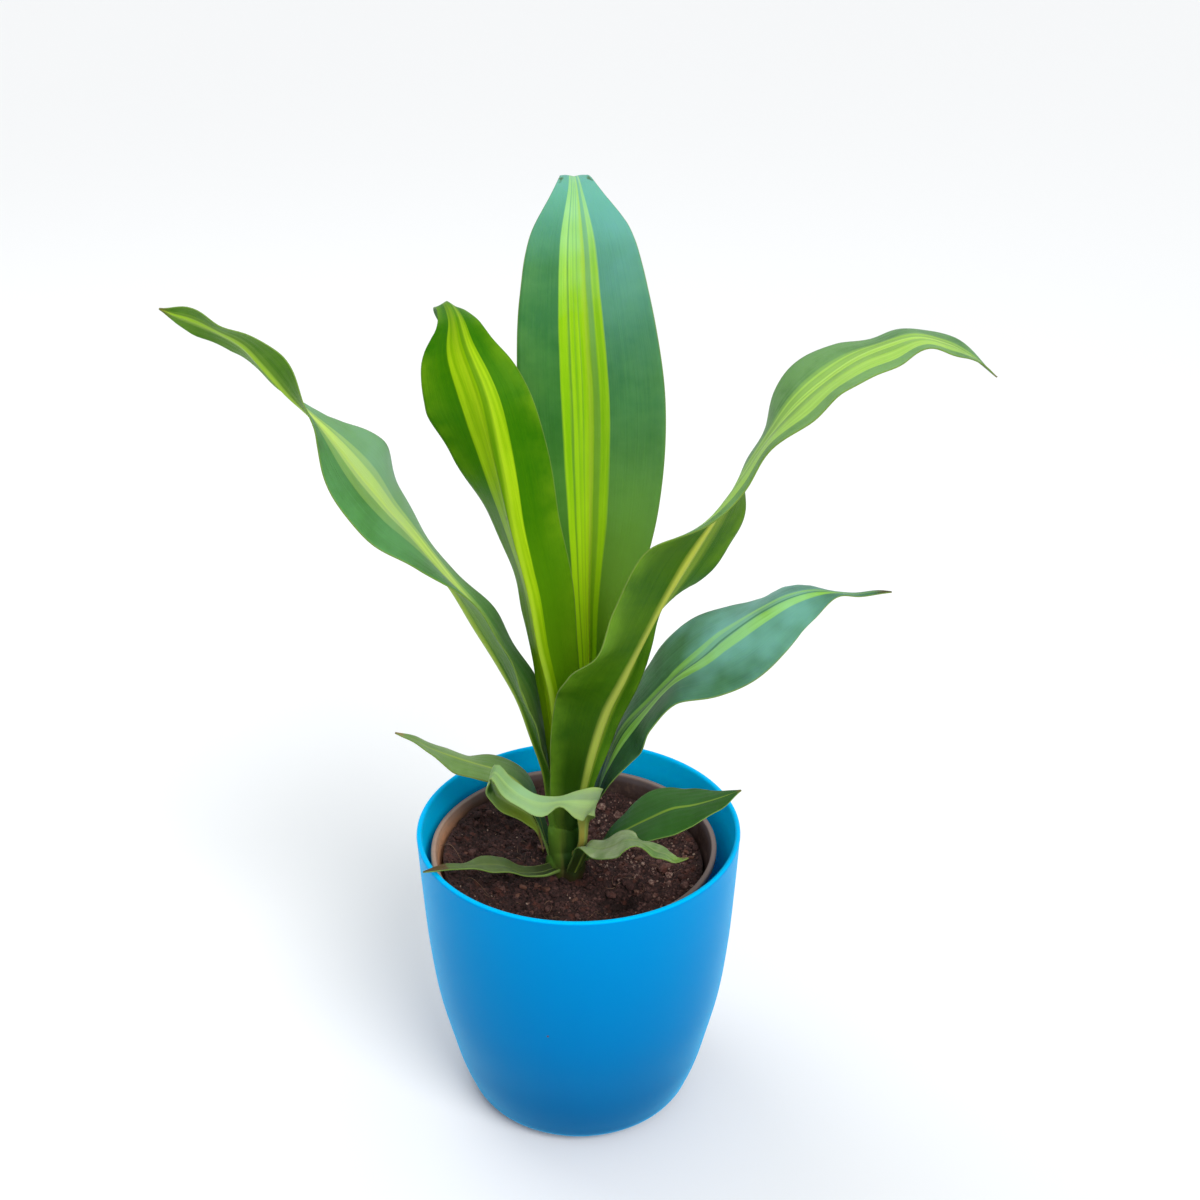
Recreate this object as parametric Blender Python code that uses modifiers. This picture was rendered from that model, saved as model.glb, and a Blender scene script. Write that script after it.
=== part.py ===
# Potted dracaena: a young variegated dracaena in a thin nursery pot, which stands in a glossy planter.
# Metres, +Z up. The origin is the centre of the planter's underside, and +Y points away from the viewer.
# Sizes are in millimetres in the constants and turned to metres where the meshes are made.

import math

import bmesh
import bpy
import numpy as np
from mathutils import Vector

MM = 0.001
CONTACT_GAP = 0.3

# Planter: the outer pot, a turned shell with no drain hole
PLANTER_HEIGHT = 126.0
PLANTER_RIM_RADIUS = 65.0
PLANTER_WALL = 2.2
PLANTER_FLOOR = 3.0
# outline as (share of the height, share of the rim radius), from the foot to the rim
PLANTER_OUTLINE = (
    (0.00, 0.632), (0.03, 0.702), (0.08, 0.749), (0.15, 0.795), (0.25, 0.842),
    (0.40, 0.906), (0.60, 0.954), (0.80, 0.980), (1.00, 1.000),
)
PLANTER_WALL_HEIGHTS = (0.0, 3.5, 8.0, 15.0, 25.0, 40.0, 60.0, 80.0, 103.0)
PLANTER_FLOOR_FILLET = 3.0
PLANTER_STEPS = 48

# Nursery pot: a thin tapered pot with a rolled lip and drain holes, a little off the planter's centre
NURSERY_CENTRE_X = -2.2
NURSERY_TOP = 117.0
NURSERY_LIP_RADIUS = 57.5
NURSERY_LIP_HEIGHT = 3.0
NURSERY_LIP_STEP = 1.2
NURSERY_BASE_RADIUS = 38.0
NURSERY_FOOT_CHAMFER = 1.5
FOOT_FILLET = 2.0
FOOT_FILLET_TOP = 3.0
NURSERY_MIDDLE = 60.0
NURSERY_WALL = 1.0
NURSERY_EDGE = 0.5
NURSERY_STEPS = 40
DRAIN_HOLES = 6
DRAIN_HOLE_RADIUS = 3.5
DRAIN_HOLE_CIRCLE = 26.0
DRAIN_CUTTER_DEPTH = 10.0

# Potting mix: fills the nursery pot to about 12 mm below its lip
SOIL_LEVEL = 105.0
SOIL_RINGS = 7
SOIL_DIP = 0.8
SOIL_EDGE_DROP = 3.0
SOIL_RISE_TO_WALL = 1.6
SOIL_TILT = (-0.012, -0.016)
# lumps as (height, waves across, waves away, phase)
SOIL_LUMPS = ((0.7, 0.21, 0.17, 1.0), (0.4, -0.11, 0.33, 0.0))

# Stem: centre points and radii from its lowest buried point to the tip inside the crown, (x, y, z, radius)
STEM_POINTS = (
    (-5.5, 0.0, 62.0, 5.0), (-5.5, 0.0, 82.0, 5.8), (-5.5, 0.0, 102.0, 6.6), (-5.3, 0.1, 112.0, 6.4),
    (-5.0, 0.3, 124.0, 5.7), (-4.0, 0.5, 136.0, 4.8), (-3.0, 0.7, 146.0, 3.9), (-2.5, 0.8, 152.0, 2.6),
)
SOCKET_TOP = 114.0
SOCKET_STEPS = 20
STEM_BEVEL_STEPS = 4

# Leaves
BLADE_THICKNESS = 0.8
BLADE_STEP = 9.0
SMALLEST_HALF_WIDTH = 0.3
DIRECTION_NUDGE = 0.01
CELLS_PER_HALF = 2

# Each leaf has a root on the stem, (height, direction in degrees, half width, distance from the stem's
# skin to the blade's middle plane), a bend of the blade across each half in degrees, and its heading in
# degrees as (share of the length, heading) pairs.
# A station is a point on the midrib (x, y, z), the left half's width and lift, and the right half's
# width and lift. Left and right are as seen from the stem looking out along the leaf, upper face up.
# A half with a positive lift, in degrees, rises towards the upper face.
LEAVES = {
    "leaf_back_tall": dict(root=(144, 80, 4.0, 0.8), bend=15, heading=((0, 90), (1, 90)), stations=(
        ((2, 10, 159), (7, 35), (8, 35)),
        ((4, 13, 185), (12, 38), (14, 45)),
        ((4, 15, 219), (19, 38), (22, 45)),
        ((4, 18, 260), (25, 33), (28, 18)),
        ((4, 22, 298), (27, 20), (30, 18)),
        ((2, 31, 333), (24, 20), (26, 20)),
        ((1, 43, 354), (18, 15), (19, 15)),
        ((0, 56, 366), (9, 12), (9, 12)),
        ((-1, 70, 369), (5.5, 5), (5.5, 5)),
        ((-2, 86, 364), (5, 5), (5, 5)),
        ((-3, 98, 352), (0.8, 5), (0.8, 5)),
    )),
    "leaf_left_upright": dict(root=(142, 240, 3.0, 1.1), bend=15, heading=((0, 262), (1, 262)), stations=(
        ((-8, -5, 168), (8, 30), (6, 30)),
        ((-10, -7, 190), (12, 28), (11, 50)),
        ((-14, -8, 210), (15, 28), (15, 60)),
        ((-17, -9, 231), (17, 27), (19, 62)),
        ((-23, -9, 259), (18, 27), (22, 55)),
        ((-28, -7, 286), (20, 20), (23, 33)),
        ((-34, -2, 310), (20, 22), (23, 16)),
        ((-40, 6, 324), (16, 25), (17, 15)),
        ((-43, 15, 332), (8, 25), (8, 25)),
        ((-46, 24, 334), (5.5, 25), (5, 30)),
        ((-49, 36, 329), (4, 20), (4, 20)),
        ((-51, 46, 319), (0.8, 10), (0.8, 10)),
    )),
    "leaf_left_long": dict(root=(124, 186, 4.0, 0.8), bend=15, heading=((0, 182), (1, 182)), stations=(
        ((-12, 1, 139), (6, 10), (7, 10)),
        ((-13, 0, 149), (7, 20), (8, 22)),
        ((-18, -1, 168), (8, 25), (10, 35)),
        ((-23, -2, 185), (11, 23), (13, 35)),
        ((-30, -2, 200), (14, 30), (16, 20)),
        ((-39, -2, 217), (18, 32), (19, 15)),
        ((-47, -1, 232), (20, 22), (21, -5)),
        ((-57, 1, 246), (22, 3), (22, -5)),
        ((-68, 2, 261), (23, -13), (23, 3)),
        ((-79, 1, 277), (21, -20), (21, 26)),
        ((-88, 0, 291), (16, -11), (16, 8)),
        ((-96, 0, 301), (11, 18), (11, -10)),
        ((-102, 0, 307), (12, 42), (12, -19)),
        ((-110, 0, 317), (12, 58), (12, -24)),
        ((-117, 0, 326), (11, 45), (11, -40)),
        ((-125, 0, 331), (9, 32), (9, -44)),
        ((-133, 0, 335), (7, 48), (7, -60)),
        ((-139, 0, 337), (4, 60), (4, -60)),
        ((-144, 0, 339), (0.8, 60), (0.8, -60)),
    )),
    "leaf_right_long": dict(root=(126, 285, 3.0, 0.8), bend=15,
                            heading=((0, 285), (0.3, 305), (0.55, 345), (0.75, 375), (1, 380)), stations=(
        ((1, -11, 145), (4, 0), (12, 15)),
        ((3, -12, 155), (5, 5), (14, 22)),
        ((6, -14, 169), (8, 10), (17, 28)),
        ((11, -18, 188), (12, 15), (20, 32)),
        ((17, -24, 205), (18, 22), (22, 18)),
        ((23, -29, 222), (23, 30), (23, 2)),
        ((31, -35, 243), (23, 0), (23, 16)),
        ((40, -39, 263), (22, -22), (22, 33)),
        ((49, -40, 280), (20, -26), (20, 6)),
        ((57, -39, 293), (18, -10), (18, 1)),
        ((65, -37, 305), (18, -11), (18, 10)),
        ((74, -34, 316), (19, -1), (19, 2)),
        ((84, -31, 324), (18, 8), (18, 5)),
        ((93, -29, 330), (16, 0), (16, 0)),
        ((104, -26, 334), (14, -12), (14, -8)),
        ((114, -24, 336), (11, 1), (11, -3)),
        ((125, -21, 333), (9, 9), (9, -10)),
        ((134, -18, 328), (5, 25), (5, -8)),
        ((145, -14, 319), (0.8, 10), (0.8, 0)),
    )),
    "leaf_right_broad": dict(root=(124, 5, 3.5, 0.8), bend=15, heading=((0, 0), (1, 0)), stations=(
        ((7, 0, 139), (6, 3), (5, -5)),
        ((11, -1, 155), (10, 2), (11, -16)),
        ((18, -2, 173), (15, 0), (15, -30)),
        ((27, -3, 184), (19, 9), (19, -5)),
        ((38, -4, 197), (23, 10), (23, 3)),
        ((49, -5, 207), (25, 9), (25, -15)),
        ((59, -5, 216), (25, -5), (25, -25)),
        ((70, -4, 224), (21, -12), (21, -30)),
        ((80, -3, 229), (15, -9), (15, -30)),
        ((89, -2, 231), (10, -15), (10, -25)),
        ((98, -1, 230), (4, -20), (4, 10)),
        ((105, 0, 229), (3.5, -18), (3.5, 11)),
        ((111, 0, 230), (2.5, -20), (2.5, 0)),
        ((118, 0, 230), (0.8, 0), (0.8, 0)),
    )),
    "leaf_low_left": dict(root=(109, 165, 4.0, 0.7), bend=15, heading=((0, 172), (1, 172)), stations=(
        ((-17, 8, 127), (5.5, 0), (5.5, 0)),
        ((-23, 8, 139), (8, 5), (9, 5)),
        ((-31, 6, 147), (11, 8), (11, -8)),
        ((-41, 4, 152), (12, 8), (12, -22)),
        ((-49, 4, 155), (10, -3), (10, -22)),
        ((-59, 3, 160), (6, 18), (6, -18)),
        ((-65, 3, 164), (3, 15), (3, -8)),
        ((-72, 3, 167), (0.8, 0), (0.8, 0)),
    )),
    "leaf_front_curled": dict(root=(114, 318, 2.5, 1.0), bend=5,
                              heading=((0, 300), (0.2, 262), (0.32, 205), (0.45, 182), (1, 180)), stations=(
        ((7, -15, 137), (4, 0), (4, 0)),
        ((7, -21, 149), (6, -5), (5, 0)),
        ((-1, -26, 152), (6, -15), (6, 10)),
        ((-10, -27, 152), (5, -5), (5, 5)),
        ((-18, -25, 154), (6, -30), (5, 30)),
        ((-26, -22, 159), (8, -30), (6, 40)),
        ((-33, -20, 162), (7, -15), (6, 20)),
        ((-35, -18, 153), (5, 0), (6, 0)),
        ((-29, -16, 145), (4.5, 10), (5, 0)),
        ((-23, -15, 137), (4, 10), (4, 0)),
        ((-18, -14, 129), (2.5, 0), (2.5, 0)),
        ((-14, -13, 121), (0.8, 0), (0.8, 0)),
    )),
    "leaf_low_right_curled": dict(root=(108, 310, 2.5, 0.7), bend=10,
                                  heading=((0, 320), (0.4, 338), (1, 342)), stations=(
        ((4, -17, 122), (4, 0), (4, 0)),
        ((9, -23, 129), (6, 8), (7, 20)),
        ((14, -28, 135), (8, 8), (8, -8)),
        ((19, -31, 140), (8, -26), (8, -13)),
        ((24, -33, 140), (6, -30), (6, 18)),
        ((30, -35, 137), (5, -5), (5, 12)),
        ((34, -37, 137), (4, -20), (4, 6)),
        ((37, -38, 135), (2.5, 5), (2.5, 15)),
        ((42, -39, 137), (0.8, 0), (0.8, 0)),
    )),
    "leaf_low_right_broad": dict(root=(109.5, 357, 2.5, 1.2), bend=10,
                                 heading=((0, -20), (0.25, 0), (1, 5)), stations=(
        ((8, -6, 118), (5, -10), (4, 0)),
        ((13, -8, 125), (8, -3), (7, 5)),
        ((19, -10, 130), (12, 2), (11, 6)),
        ((28, -11, 136), (15, 3), (15, 4)),
        ((38, -11, 141), (15, -2), (15, -6)),
        ((44, -11, 142), (13, -4), (13, -2)),
        ((51, -11, 144), (10, -8), (10, 3)),
        ((58, -10, 146), (5, -8), (5, -5)),
        ((64, -9, 148), (0.8, 0), (0.8, 0)),
    )),
    "leaf_small_left": dict(root=(107.5, 232, 2.5, 0.5), bend=5,
                            heading=((0, 215), (0.3, 196), (1, 196)), stations=(
        ((-16, -12, 111), (3.5, 5), (3.5, 5)),
        ((-22, -15, 113), (4.5, 16), (4.5, 4)),
        ((-29, -19, 119), (5.5, 13), (5.5, 0)),
        ((-36, -22, 122), (5, -4), (5, 4)),
        ((-43, -26, 124), (3, 15), (3, -18)),
        ((-50, -30, 126.5), (2, 0), (2, 0)),
        ((-59, -36, 128.4), (0.8, 0), (0.8, 0)),
    )),
}

# Colours as (red, green, blue), roughness
PLANTER_BLUE = ((0.0, 0.33, 0.80), 0.22)
NURSERY_BROWN = ((0.16, 0.11, 0.09), 0.45)
SOIL_BROWN = ((0.06, 0.025, 0.015), 0.95)
STEM_GREEN = ((0.16, 0.30, 0.06), 0.45)
LEAF_GREEN = ((0.06, 0.24, 0.05), 0.35)


def clear_scene():
    for thing in list(bpy.data.objects):
        bpy.data.objects.remove(thing, do_unlink=True)


def new_collection(name):
    collection = bpy.data.collections.new(name)
    bpy.context.scene.collection.children.link(collection)
    return collection


def plain_material(name, colour_and_roughness):
    colour, roughness = colour_and_roughness
    material = bpy.data.materials.new(name)
    material.use_nodes = True
    shader = material.node_tree.nodes["Principled BSDF"]
    shader.inputs["Base Color"].default_value = (*colour, 1.0)
    shader.inputs["Roughness"].default_value = roughness
    shader.inputs["Metallic"].default_value = 0.0
    return material


def add_object(name, data, collection, material=None, parent=None):
    thing = bpy.data.objects.new(name, data)
    collection.objects.link(thing)
    if material:
        data.materials.append(material)
    thing.parent = parent
    return thing


def smooth(mesh, degrees=40):
    mesh.shade_smooth()
    mesh.set_sharp_from_angle(angle=math.radians(degrees))


def turned_object(name, profile, steps, collection, material=None, parent=None):
    # a profile of (radius, height) points in millimetres, turned about Z
    build = bmesh.new()
    corners = [build.verts.new((radius * MM, 0, height * MM)) for radius, height in profile]
    for first, second in zip(corners, corners[1:]):
        build.edges.new((first, second))
    mesh = bpy.data.meshes.new(name)
    build.to_mesh(mesh)
    build.free()
    thing = add_object(name, mesh, collection, material, parent)
    turn = thing.modifiers.new("turn", "SCREW")
    turn.steps = steps
    turn.render_steps = steps
    turn.use_merge_vertices = True
    turn.merge_threshold = 0.00001
    turn.use_smooth_shade = True
    return thing


def evaluated_mesh(thing):
    bpy.context.view_layer.update()
    graph = bpy.context.evaluated_depsgraph_get()
    return bpy.data.meshes.new_from_object(thing.evaluated_get(graph))


def cubic(knots, values, places):
    # a smooth curve through the values, read at the places
    knots = np.asarray(knots, float)
    values = np.asarray(values, float)
    places = np.atleast_1d(np.asarray(places, float))
    values = values.reshape(len(knots), -1)
    spans = np.diff(knots)
    slopes = np.diff(values, axis=0) / spans[:, None]
    tangents = np.empty_like(values)
    tangents[0], tangents[-1] = slopes[0], slopes[-1]
    before, after = spans[:-1, None], spans[1:, None]
    tangents[1:-1] = (slopes[:-1] * after + slopes[1:] * before) / (before + after)
    index = np.clip(np.searchsorted(knots, places, side="right") - 1, 0, len(knots) - 2)
    span = spans[index][:, None]
    share = ((places - knots[index]) / spans[index])[:, None]
    return (
        (2 * share**3 - 3 * share**2 + 1) * values[index]
        + (share**3 - 2 * share**2 + share) * span * tangents[index]
        + (3 * share**2 - 2 * share**3) * values[index + 1]
        + (share**3 - share**2) * span * tangents[index + 1]
    )


def planter_radius(height, inset=0.0):
    shares, radii = zip(*PLANTER_OUTLINE)
    return PLANTER_RIM_RADIUS * cubic(shares, radii, height / PLANTER_HEIGHT)[0, 0] - inset


def nursery_radius(height, inset=0.0):
    # outer radius of the tapered wall at a height above the table
    low = PLANTER_FLOOR + CONTACT_GAP
    share = (height - low) / (NURSERY_TOP - low)
    top = NURSERY_LIP_RADIUS - NURSERY_LIP_STEP
    return NURSERY_BASE_RADIUS + share * (top - NURSERY_BASE_RADIUS) - inset


def make_planter(collection, parent):
    rim = PLANTER_WALL / 2
    inside = [(0.0, PLANTER_FLOOR),
              (planter_radius(PLANTER_FLOOR, PLANTER_WALL + PLANTER_FLOOR_FILLET), PLANTER_FLOOR)]
    inside += [(planter_radius(z, PLANTER_WALL), z) for z in PLANTER_WALL_HEIGHTS[2:]]
    rim_middle = PLANTER_RIM_RADIUS - rim
    rim_low = PLANTER_HEIGHT - rim
    lip = [(rim_middle + rim * math.cos(math.radians(turn)), rim_low + rim * math.sin(math.radians(turn)))
           for turn in (180, 135, 90, 45, 0)]
    outside = [(planter_radius(z), z) for z in reversed(PLANTER_WALL_HEIGHTS)] + [(0.0, 0.0)]
    material = plain_material("planter_blue", PLANTER_BLUE)
    return turned_object("outer_pot", inside + lip + outside, PLANTER_STEPS, collection, material, parent)


def make_drain_cutters(collection, parent):
    cutters = []
    for number in range(DRAIN_HOLES):
        turn = 2 * math.pi * (number + 0.5) / DRAIN_HOLES
        build = bmesh.new()
        bmesh.ops.create_cone(build, cap_ends=True, segments=12, radius1=DRAIN_HOLE_RADIUS * MM,
                              radius2=DRAIN_HOLE_RADIUS * MM, depth=DRAIN_CUTTER_DEPTH * MM)
        mesh = bpy.data.meshes.new("drain_cutter")
        build.to_mesh(mesh)
        build.free()
        cutter = add_object("drain_cutter_%d" % number, mesh, collection, parent=parent)
        cutter.location = (DRAIN_HOLE_CIRCLE * MM * math.cos(turn), DRAIN_HOLE_CIRCLE * MM * math.sin(turn),
                           (PLANTER_FLOOR + CONTACT_GAP) * MM)
        cutters.append(cutter)
    return cutters


def hide_cutter(cutter):
    cutter.hide_render = True
    cutter.display_type = "WIRE"


def cut(thing, cutter, name):
    boolean = thing.modifiers.new(name, "BOOLEAN")
    boolean.operation = "DIFFERENCE"
    boolean.solver = "EXACT"
    boolean.object = cutter


def make_nursery_pot(collection, cutters, parent):
    low = PLANTER_FLOOR + CONTACT_GAP
    lip_low = NURSERY_TOP - NURSERY_LIP_HEIGHT
    lip_inside = NURSERY_LIP_RADIUS - NURSERY_LIP_STEP - NURSERY_WALL
    profile = [
        (0.0, low + NURSERY_WALL),
        (nursery_radius(low, NURSERY_WALL + FOOT_FILLET), low + NURSERY_WALL),
        (nursery_radius(low + FOOT_FILLET_TOP, NURSERY_WALL), low + FOOT_FILLET_TOP),
        (nursery_radius(NURSERY_MIDDLE, NURSERY_WALL), NURSERY_MIDDLE),
        (nursery_radius(lip_low, NURSERY_WALL), lip_low),
        (lip_inside, NURSERY_TOP - NURSERY_EDGE),
        (lip_inside + NURSERY_EDGE, NURSERY_TOP),
        (NURSERY_LIP_RADIUS - NURSERY_EDGE, NURSERY_TOP),
        (NURSERY_LIP_RADIUS, NURSERY_TOP - NURSERY_EDGE),
        (NURSERY_LIP_RADIUS, lip_low + NURSERY_EDGE),
        (NURSERY_LIP_RADIUS - NURSERY_EDGE, lip_low),
        (nursery_radius(lip_low), lip_low),
        (nursery_radius(NURSERY_MIDDLE), NURSERY_MIDDLE),
        (nursery_radius(low + NURSERY_FOOT_CHAMFER), low + NURSERY_FOOT_CHAMFER),
        (nursery_radius(low, NURSERY_FOOT_CHAMFER), low),
        (0.0, low),
    ]
    material = plain_material("nursery_brown", NURSERY_BROWN)
    pot = turned_object("nursery_pot", profile, NURSERY_STEPS, collection, material, parent)
    for number, cutter in enumerate(make_drain_cutters(cutters, parent)):
        hide_cutter(cutter)
        cut(pot, cutter, "drain_%d" % number)
    return pot


def soil_height(x, y):
    # low around the stem, a little higher towards the left and the front, with shallow lumps
    away = math.hypot(x - STEM_POINTS[0][0], y) / nursery_radius(SOIL_LEVEL)
    slope = SOIL_RISE_TO_WALL * away * away + SOIL_TILT[0] * x + SOIL_TILT[1] * y
    lumps = sum(high * math.sin(across * x + phase) * math.cos(beyond * y)
                for high, across, beyond, phase in SOIL_LUMPS)
    return SOIL_LEVEL - SOIL_DIP + slope + lumps * min(1.0, 2 * away)


def make_soil(collection, cutters, parent):
    clear = NURSERY_WALL + CONTACT_GAP
    low = PLANTER_FLOOR + 2 * CONTACT_GAP + NURSERY_WALL
    top_radius = nursery_radius(SOIL_LEVEL - SOIL_EDGE_DROP, clear)
    profile = [(top_radius * ring / SOIL_RINGS, SOIL_LEVEL) for ring in range(SOIL_RINGS + 1)]
    profile += [(nursery_radius(low + FOOT_FILLET_TOP, clear), low + FOOT_FILLET_TOP),
                (nursery_radius(low, clear + FOOT_FILLET), low), (0.0, low)]
    rough = turned_object("rough_soil", profile, NURSERY_STEPS, collection)
    mesh = evaluated_mesh(rough)
    bpy.data.objects.remove(rough, do_unlink=True)
    for vertex in mesh.vertices:
        if vertex.co.z > (SOIL_LEVEL - SOIL_EDGE_DROP) * MM:
            vertex.co.z = MM * soil_height(vertex.co.x / MM + NURSERY_CENTRE_X, vertex.co.y / MM)
    mesh.name = "potting_soil"
    soil = add_object("potting_soil", mesh, collection, plain_material("soil_brown", SOIL_BROWN), parent)
    x, y, z, radius = STEM_POINTS[0]
    widest = max(point[3] for point in STEM_POINTS)
    build = bmesh.new()
    bmesh.ops.create_cone(build, cap_ends=True, segments=SOCKET_STEPS,
                          radius1=(radius + 2 * CONTACT_GAP) * MM, radius2=(widest + 3 * CONTACT_GAP) * MM,
                          depth=(SOCKET_TOP - z + CONTACT_GAP) * MM)
    cutter_mesh = bpy.data.meshes.new("socket_cutter")
    build.to_mesh(cutter_mesh)
    build.free()
    socket = add_object("socket_cutter", cutter_mesh, cutters, parent=parent)
    socket.location = ((x - NURSERY_CENTRE_X) * MM, y * MM, (SOCKET_TOP + z - CONTACT_GAP) / 2 * MM)
    hide_cutter(socket)
    cut(soil, socket, "stem_socket")
    return soil


def make_stem(collection, parent):
    curve = bpy.data.curves.new("stem", "CURVE")
    curve.dimensions = "3D"
    curve.bevel_depth = MM
    curve.bevel_resolution = STEM_BEVEL_STEPS
    curve.use_fill_caps = True
    line = curve.splines.new("POLY")
    line.points.add(len(STEM_POINTS) - 1)
    for point, (x, y, z, radius) in zip(line.points, STEM_POINTS):
        point.co = (x * MM, y * MM, z * MM, 1)
        point.radius = radius
    return add_object("stem", curve, collection, plain_material("stem_green", STEM_GREEN), parent)


def on_stem(height, direction, stand_off):
    # the point of a blade's middle plane that just clears the stem's skin
    heights = [point[2] for point in STEM_POINTS]
    x, y, radius = (np.interp(height, heights, [point[i] for point in STEM_POINTS]) for i in (0, 1, 3))
    reach = radius + stand_off
    turn = math.radians(direction)
    return (x + reach * math.cos(turn), y + reach * math.sin(turn), height)


def unit(vectors):
    return vectors / np.linalg.norm(vectors, axis=1)[:, None]


def blade_points(leaf, lengths, sides):
    # points of the blade, for shares of the length from 0 to 1 and of the width from -1, right, to 1, left
    height, direction, root_width, stand_off = leaf["root"]
    rows = [(*on_stem(height, direction, stand_off), root_width, 0, root_width, 0)]
    rows += [(*point, *left, *right) for point, left, right in leaf["stations"]]
    rows = np.array(rows, float)
    knots = np.concatenate(([0], np.cumsum(np.linalg.norm(np.diff(rows[:, :3], axis=0), axis=1))))
    places = lengths * knots[-1]
    state = cubic(knots, rows, places)
    nudge = DIRECTION_NUDGE * knots[-1]
    ahead = cubic(knots, rows[:, :3], np.clip(places + nudge, 0, knots[-1]))
    behind = cubic(knots, rows[:, :3], np.clip(places - nudge, 0, knots[-1]))
    along = unit(ahead - behind)
    shares, headings = zip(*leaf["heading"])
    heading = np.radians(cubic(shares, headings, lengths)[:, 0])
    flat_left = np.stack([-np.sin(heading), np.cos(heading), np.zeros_like(heading)], axis=1)
    left = unit(flat_left - np.sum(along * flat_left, axis=1)[:, None] * along)
    upper = np.cross(along, left)
    on_left = sides > 0
    width = np.maximum(np.where(on_left, state[:, 3], state[:, 5]), SMALLEST_HALF_WIDTH)
    lift = np.radians(np.where(on_left, state[:, 4], state[:, 6]))
    bend = math.radians(leaf["bend"])
    start = lift + bend / 2
    end = lift + bend * (0.5 - np.abs(sides))
    across = width * (np.sin(start) - np.sin(end)) / bend
    rise = width * (np.cos(end) - np.cos(start)) / bend
    return state[:, :3] + left * (np.sign(sides) * across)[:, None] + upper * rise[:, None], knots[-1]


def make_leaf(name, leaf, collection, material, parent):
    length = blade_points(leaf, np.zeros(1), np.zeros(1))[1]
    build = bmesh.new()
    bmesh.ops.create_grid(build, x_segments=max(8, round(length / BLADE_STEP)),
                          y_segments=2 * CELLS_PER_HALF, size=0.5)
    lengths = np.array([corner.co.x + 0.5 for corner in build.verts])
    sides = np.array([2 * corner.co.y for corner in build.verts])
    points, length = blade_points(leaf, lengths, sides)
    for corner, point in zip(build.verts, points):
        corner.co = Vector(point * MM)
    mesh = bpy.data.meshes.new(name)
    build.to_mesh(mesh)
    build.free()
    smooth(mesh)
    blade = add_object(name, mesh, collection, material, parent)
    skin = blade.modifiers.new("thickness", "SOLIDIFY")
    skin.thickness = BLADE_THICKNESS * MM
    skin.offset = 0.0
    return blade


def main():
    clear_scene()
    plant = new_collection("potted_dracaena")
    cutters = new_collection("cutters")
    frame = bpy.data.objects.new("planter_foot", None)
    plant.objects.link(frame)
    inner = bpy.data.objects.new("nursery_place", None)
    inner.location = (NURSERY_CENTRE_X * MM, 0, 0)
    inner.parent = frame
    plant.objects.link(inner)
    make_planter(plant, frame)
    make_nursery_pot(plant, cutters, inner)
    make_soil(plant, cutters, inner)
    make_stem(plant, frame)
    leaf_material = plain_material("leaf_green", LEAF_GREEN)
    for name, leaf in LEAVES.items():
        make_leaf(name, leaf, plant, leaf_material, frame)


main()
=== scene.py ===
# Potted dracaena: the finished looks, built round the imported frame.
# Sizes in the dictionaries are in millimetres. Colours are linear (red, green, blue).

import math
import random

import bmesh
import bpy
import numpy as np
from mathutils import Euler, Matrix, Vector, noise


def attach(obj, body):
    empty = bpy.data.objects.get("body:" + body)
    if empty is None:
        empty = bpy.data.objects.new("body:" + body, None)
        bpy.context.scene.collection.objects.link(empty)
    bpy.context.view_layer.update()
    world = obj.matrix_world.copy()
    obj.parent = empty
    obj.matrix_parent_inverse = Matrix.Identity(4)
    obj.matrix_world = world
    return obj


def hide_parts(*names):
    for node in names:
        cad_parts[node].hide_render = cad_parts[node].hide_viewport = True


mm = 0.001

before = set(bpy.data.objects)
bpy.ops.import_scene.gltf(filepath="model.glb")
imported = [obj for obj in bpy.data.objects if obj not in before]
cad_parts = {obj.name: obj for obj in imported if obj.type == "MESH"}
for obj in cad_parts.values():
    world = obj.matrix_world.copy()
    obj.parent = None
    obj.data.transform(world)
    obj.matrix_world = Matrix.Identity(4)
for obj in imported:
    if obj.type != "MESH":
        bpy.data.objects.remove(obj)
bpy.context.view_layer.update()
print("frame loaded:", len(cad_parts), "nodes")


# small helpers for node trees

def addNode(tree, kind, sockets=None, **settings):
    # each socket gets a link or a fixed value
    made = tree.nodes.new(kind)
    for name, value in settings.items():
        setattr(made, name, value)
    for name, value in (sockets or {}).items():
        if isinstance(value, bpy.types.NodeSocket):
            tree.links.new(value, made.inputs[name])
        else:
            made.inputs[name].default_value = value
    return made


def objectPlace(tree):
    return addNode(tree, "ShaderNodeTexCoord").outputs["Object"]


def vertexValue(tree, name):
    return addNode(tree, "ShaderNodeAttribute", attribute_name=name).outputs["Fac"]


def separated(tree, vector):
    return addNode(tree, "ShaderNodeSeparateXYZ", {0: vector}).outputs[:]


def calc(tree, operation, *values, clamp=False):
    sockets = dict(enumerate(values))
    return addNode(tree, "ShaderNodeMath", sockets, operation=operation, use_clamp=clamp).outputs[0]


def vectorCalc(tree, operation, *values):
    return addNode(tree, "ShaderNodeVectorMath", dict(enumerate(values)), operation=operation).outputs


def product(tree, first, *others):
    for value in others:
        first = calc(tree, "MULTIPLY", first, value)
    return first


def swung(tree, value, reach, base, clamp=False):
    # a value around 0.5 moves the base up and down
    return calc(tree, "MULTIPLY_ADD", calc(tree, "SUBTRACT", value, 0.5), reach, base, clamp=clamp)


def spread(tree, value, low=0.33, high=0.67, start=0.0, end=1.0):
    # low to high becomes start to end; as it stands it stretches a noise value to fill 0 to 1
    return addNode(tree, "ShaderNodeMapRange", {"Value": value, "From Min": low, "From Max": high,
                                                "To Min": start, "To Max": end}).outputs[0]


def window(tree, value, low, high, soft):
    # 1 between low and high, 0 outside, over a soft edge
    rise = spread(tree, value, low - soft, low + soft)
    return product(tree, rise, spread(tree, value, high + soft, high - soft))


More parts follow.
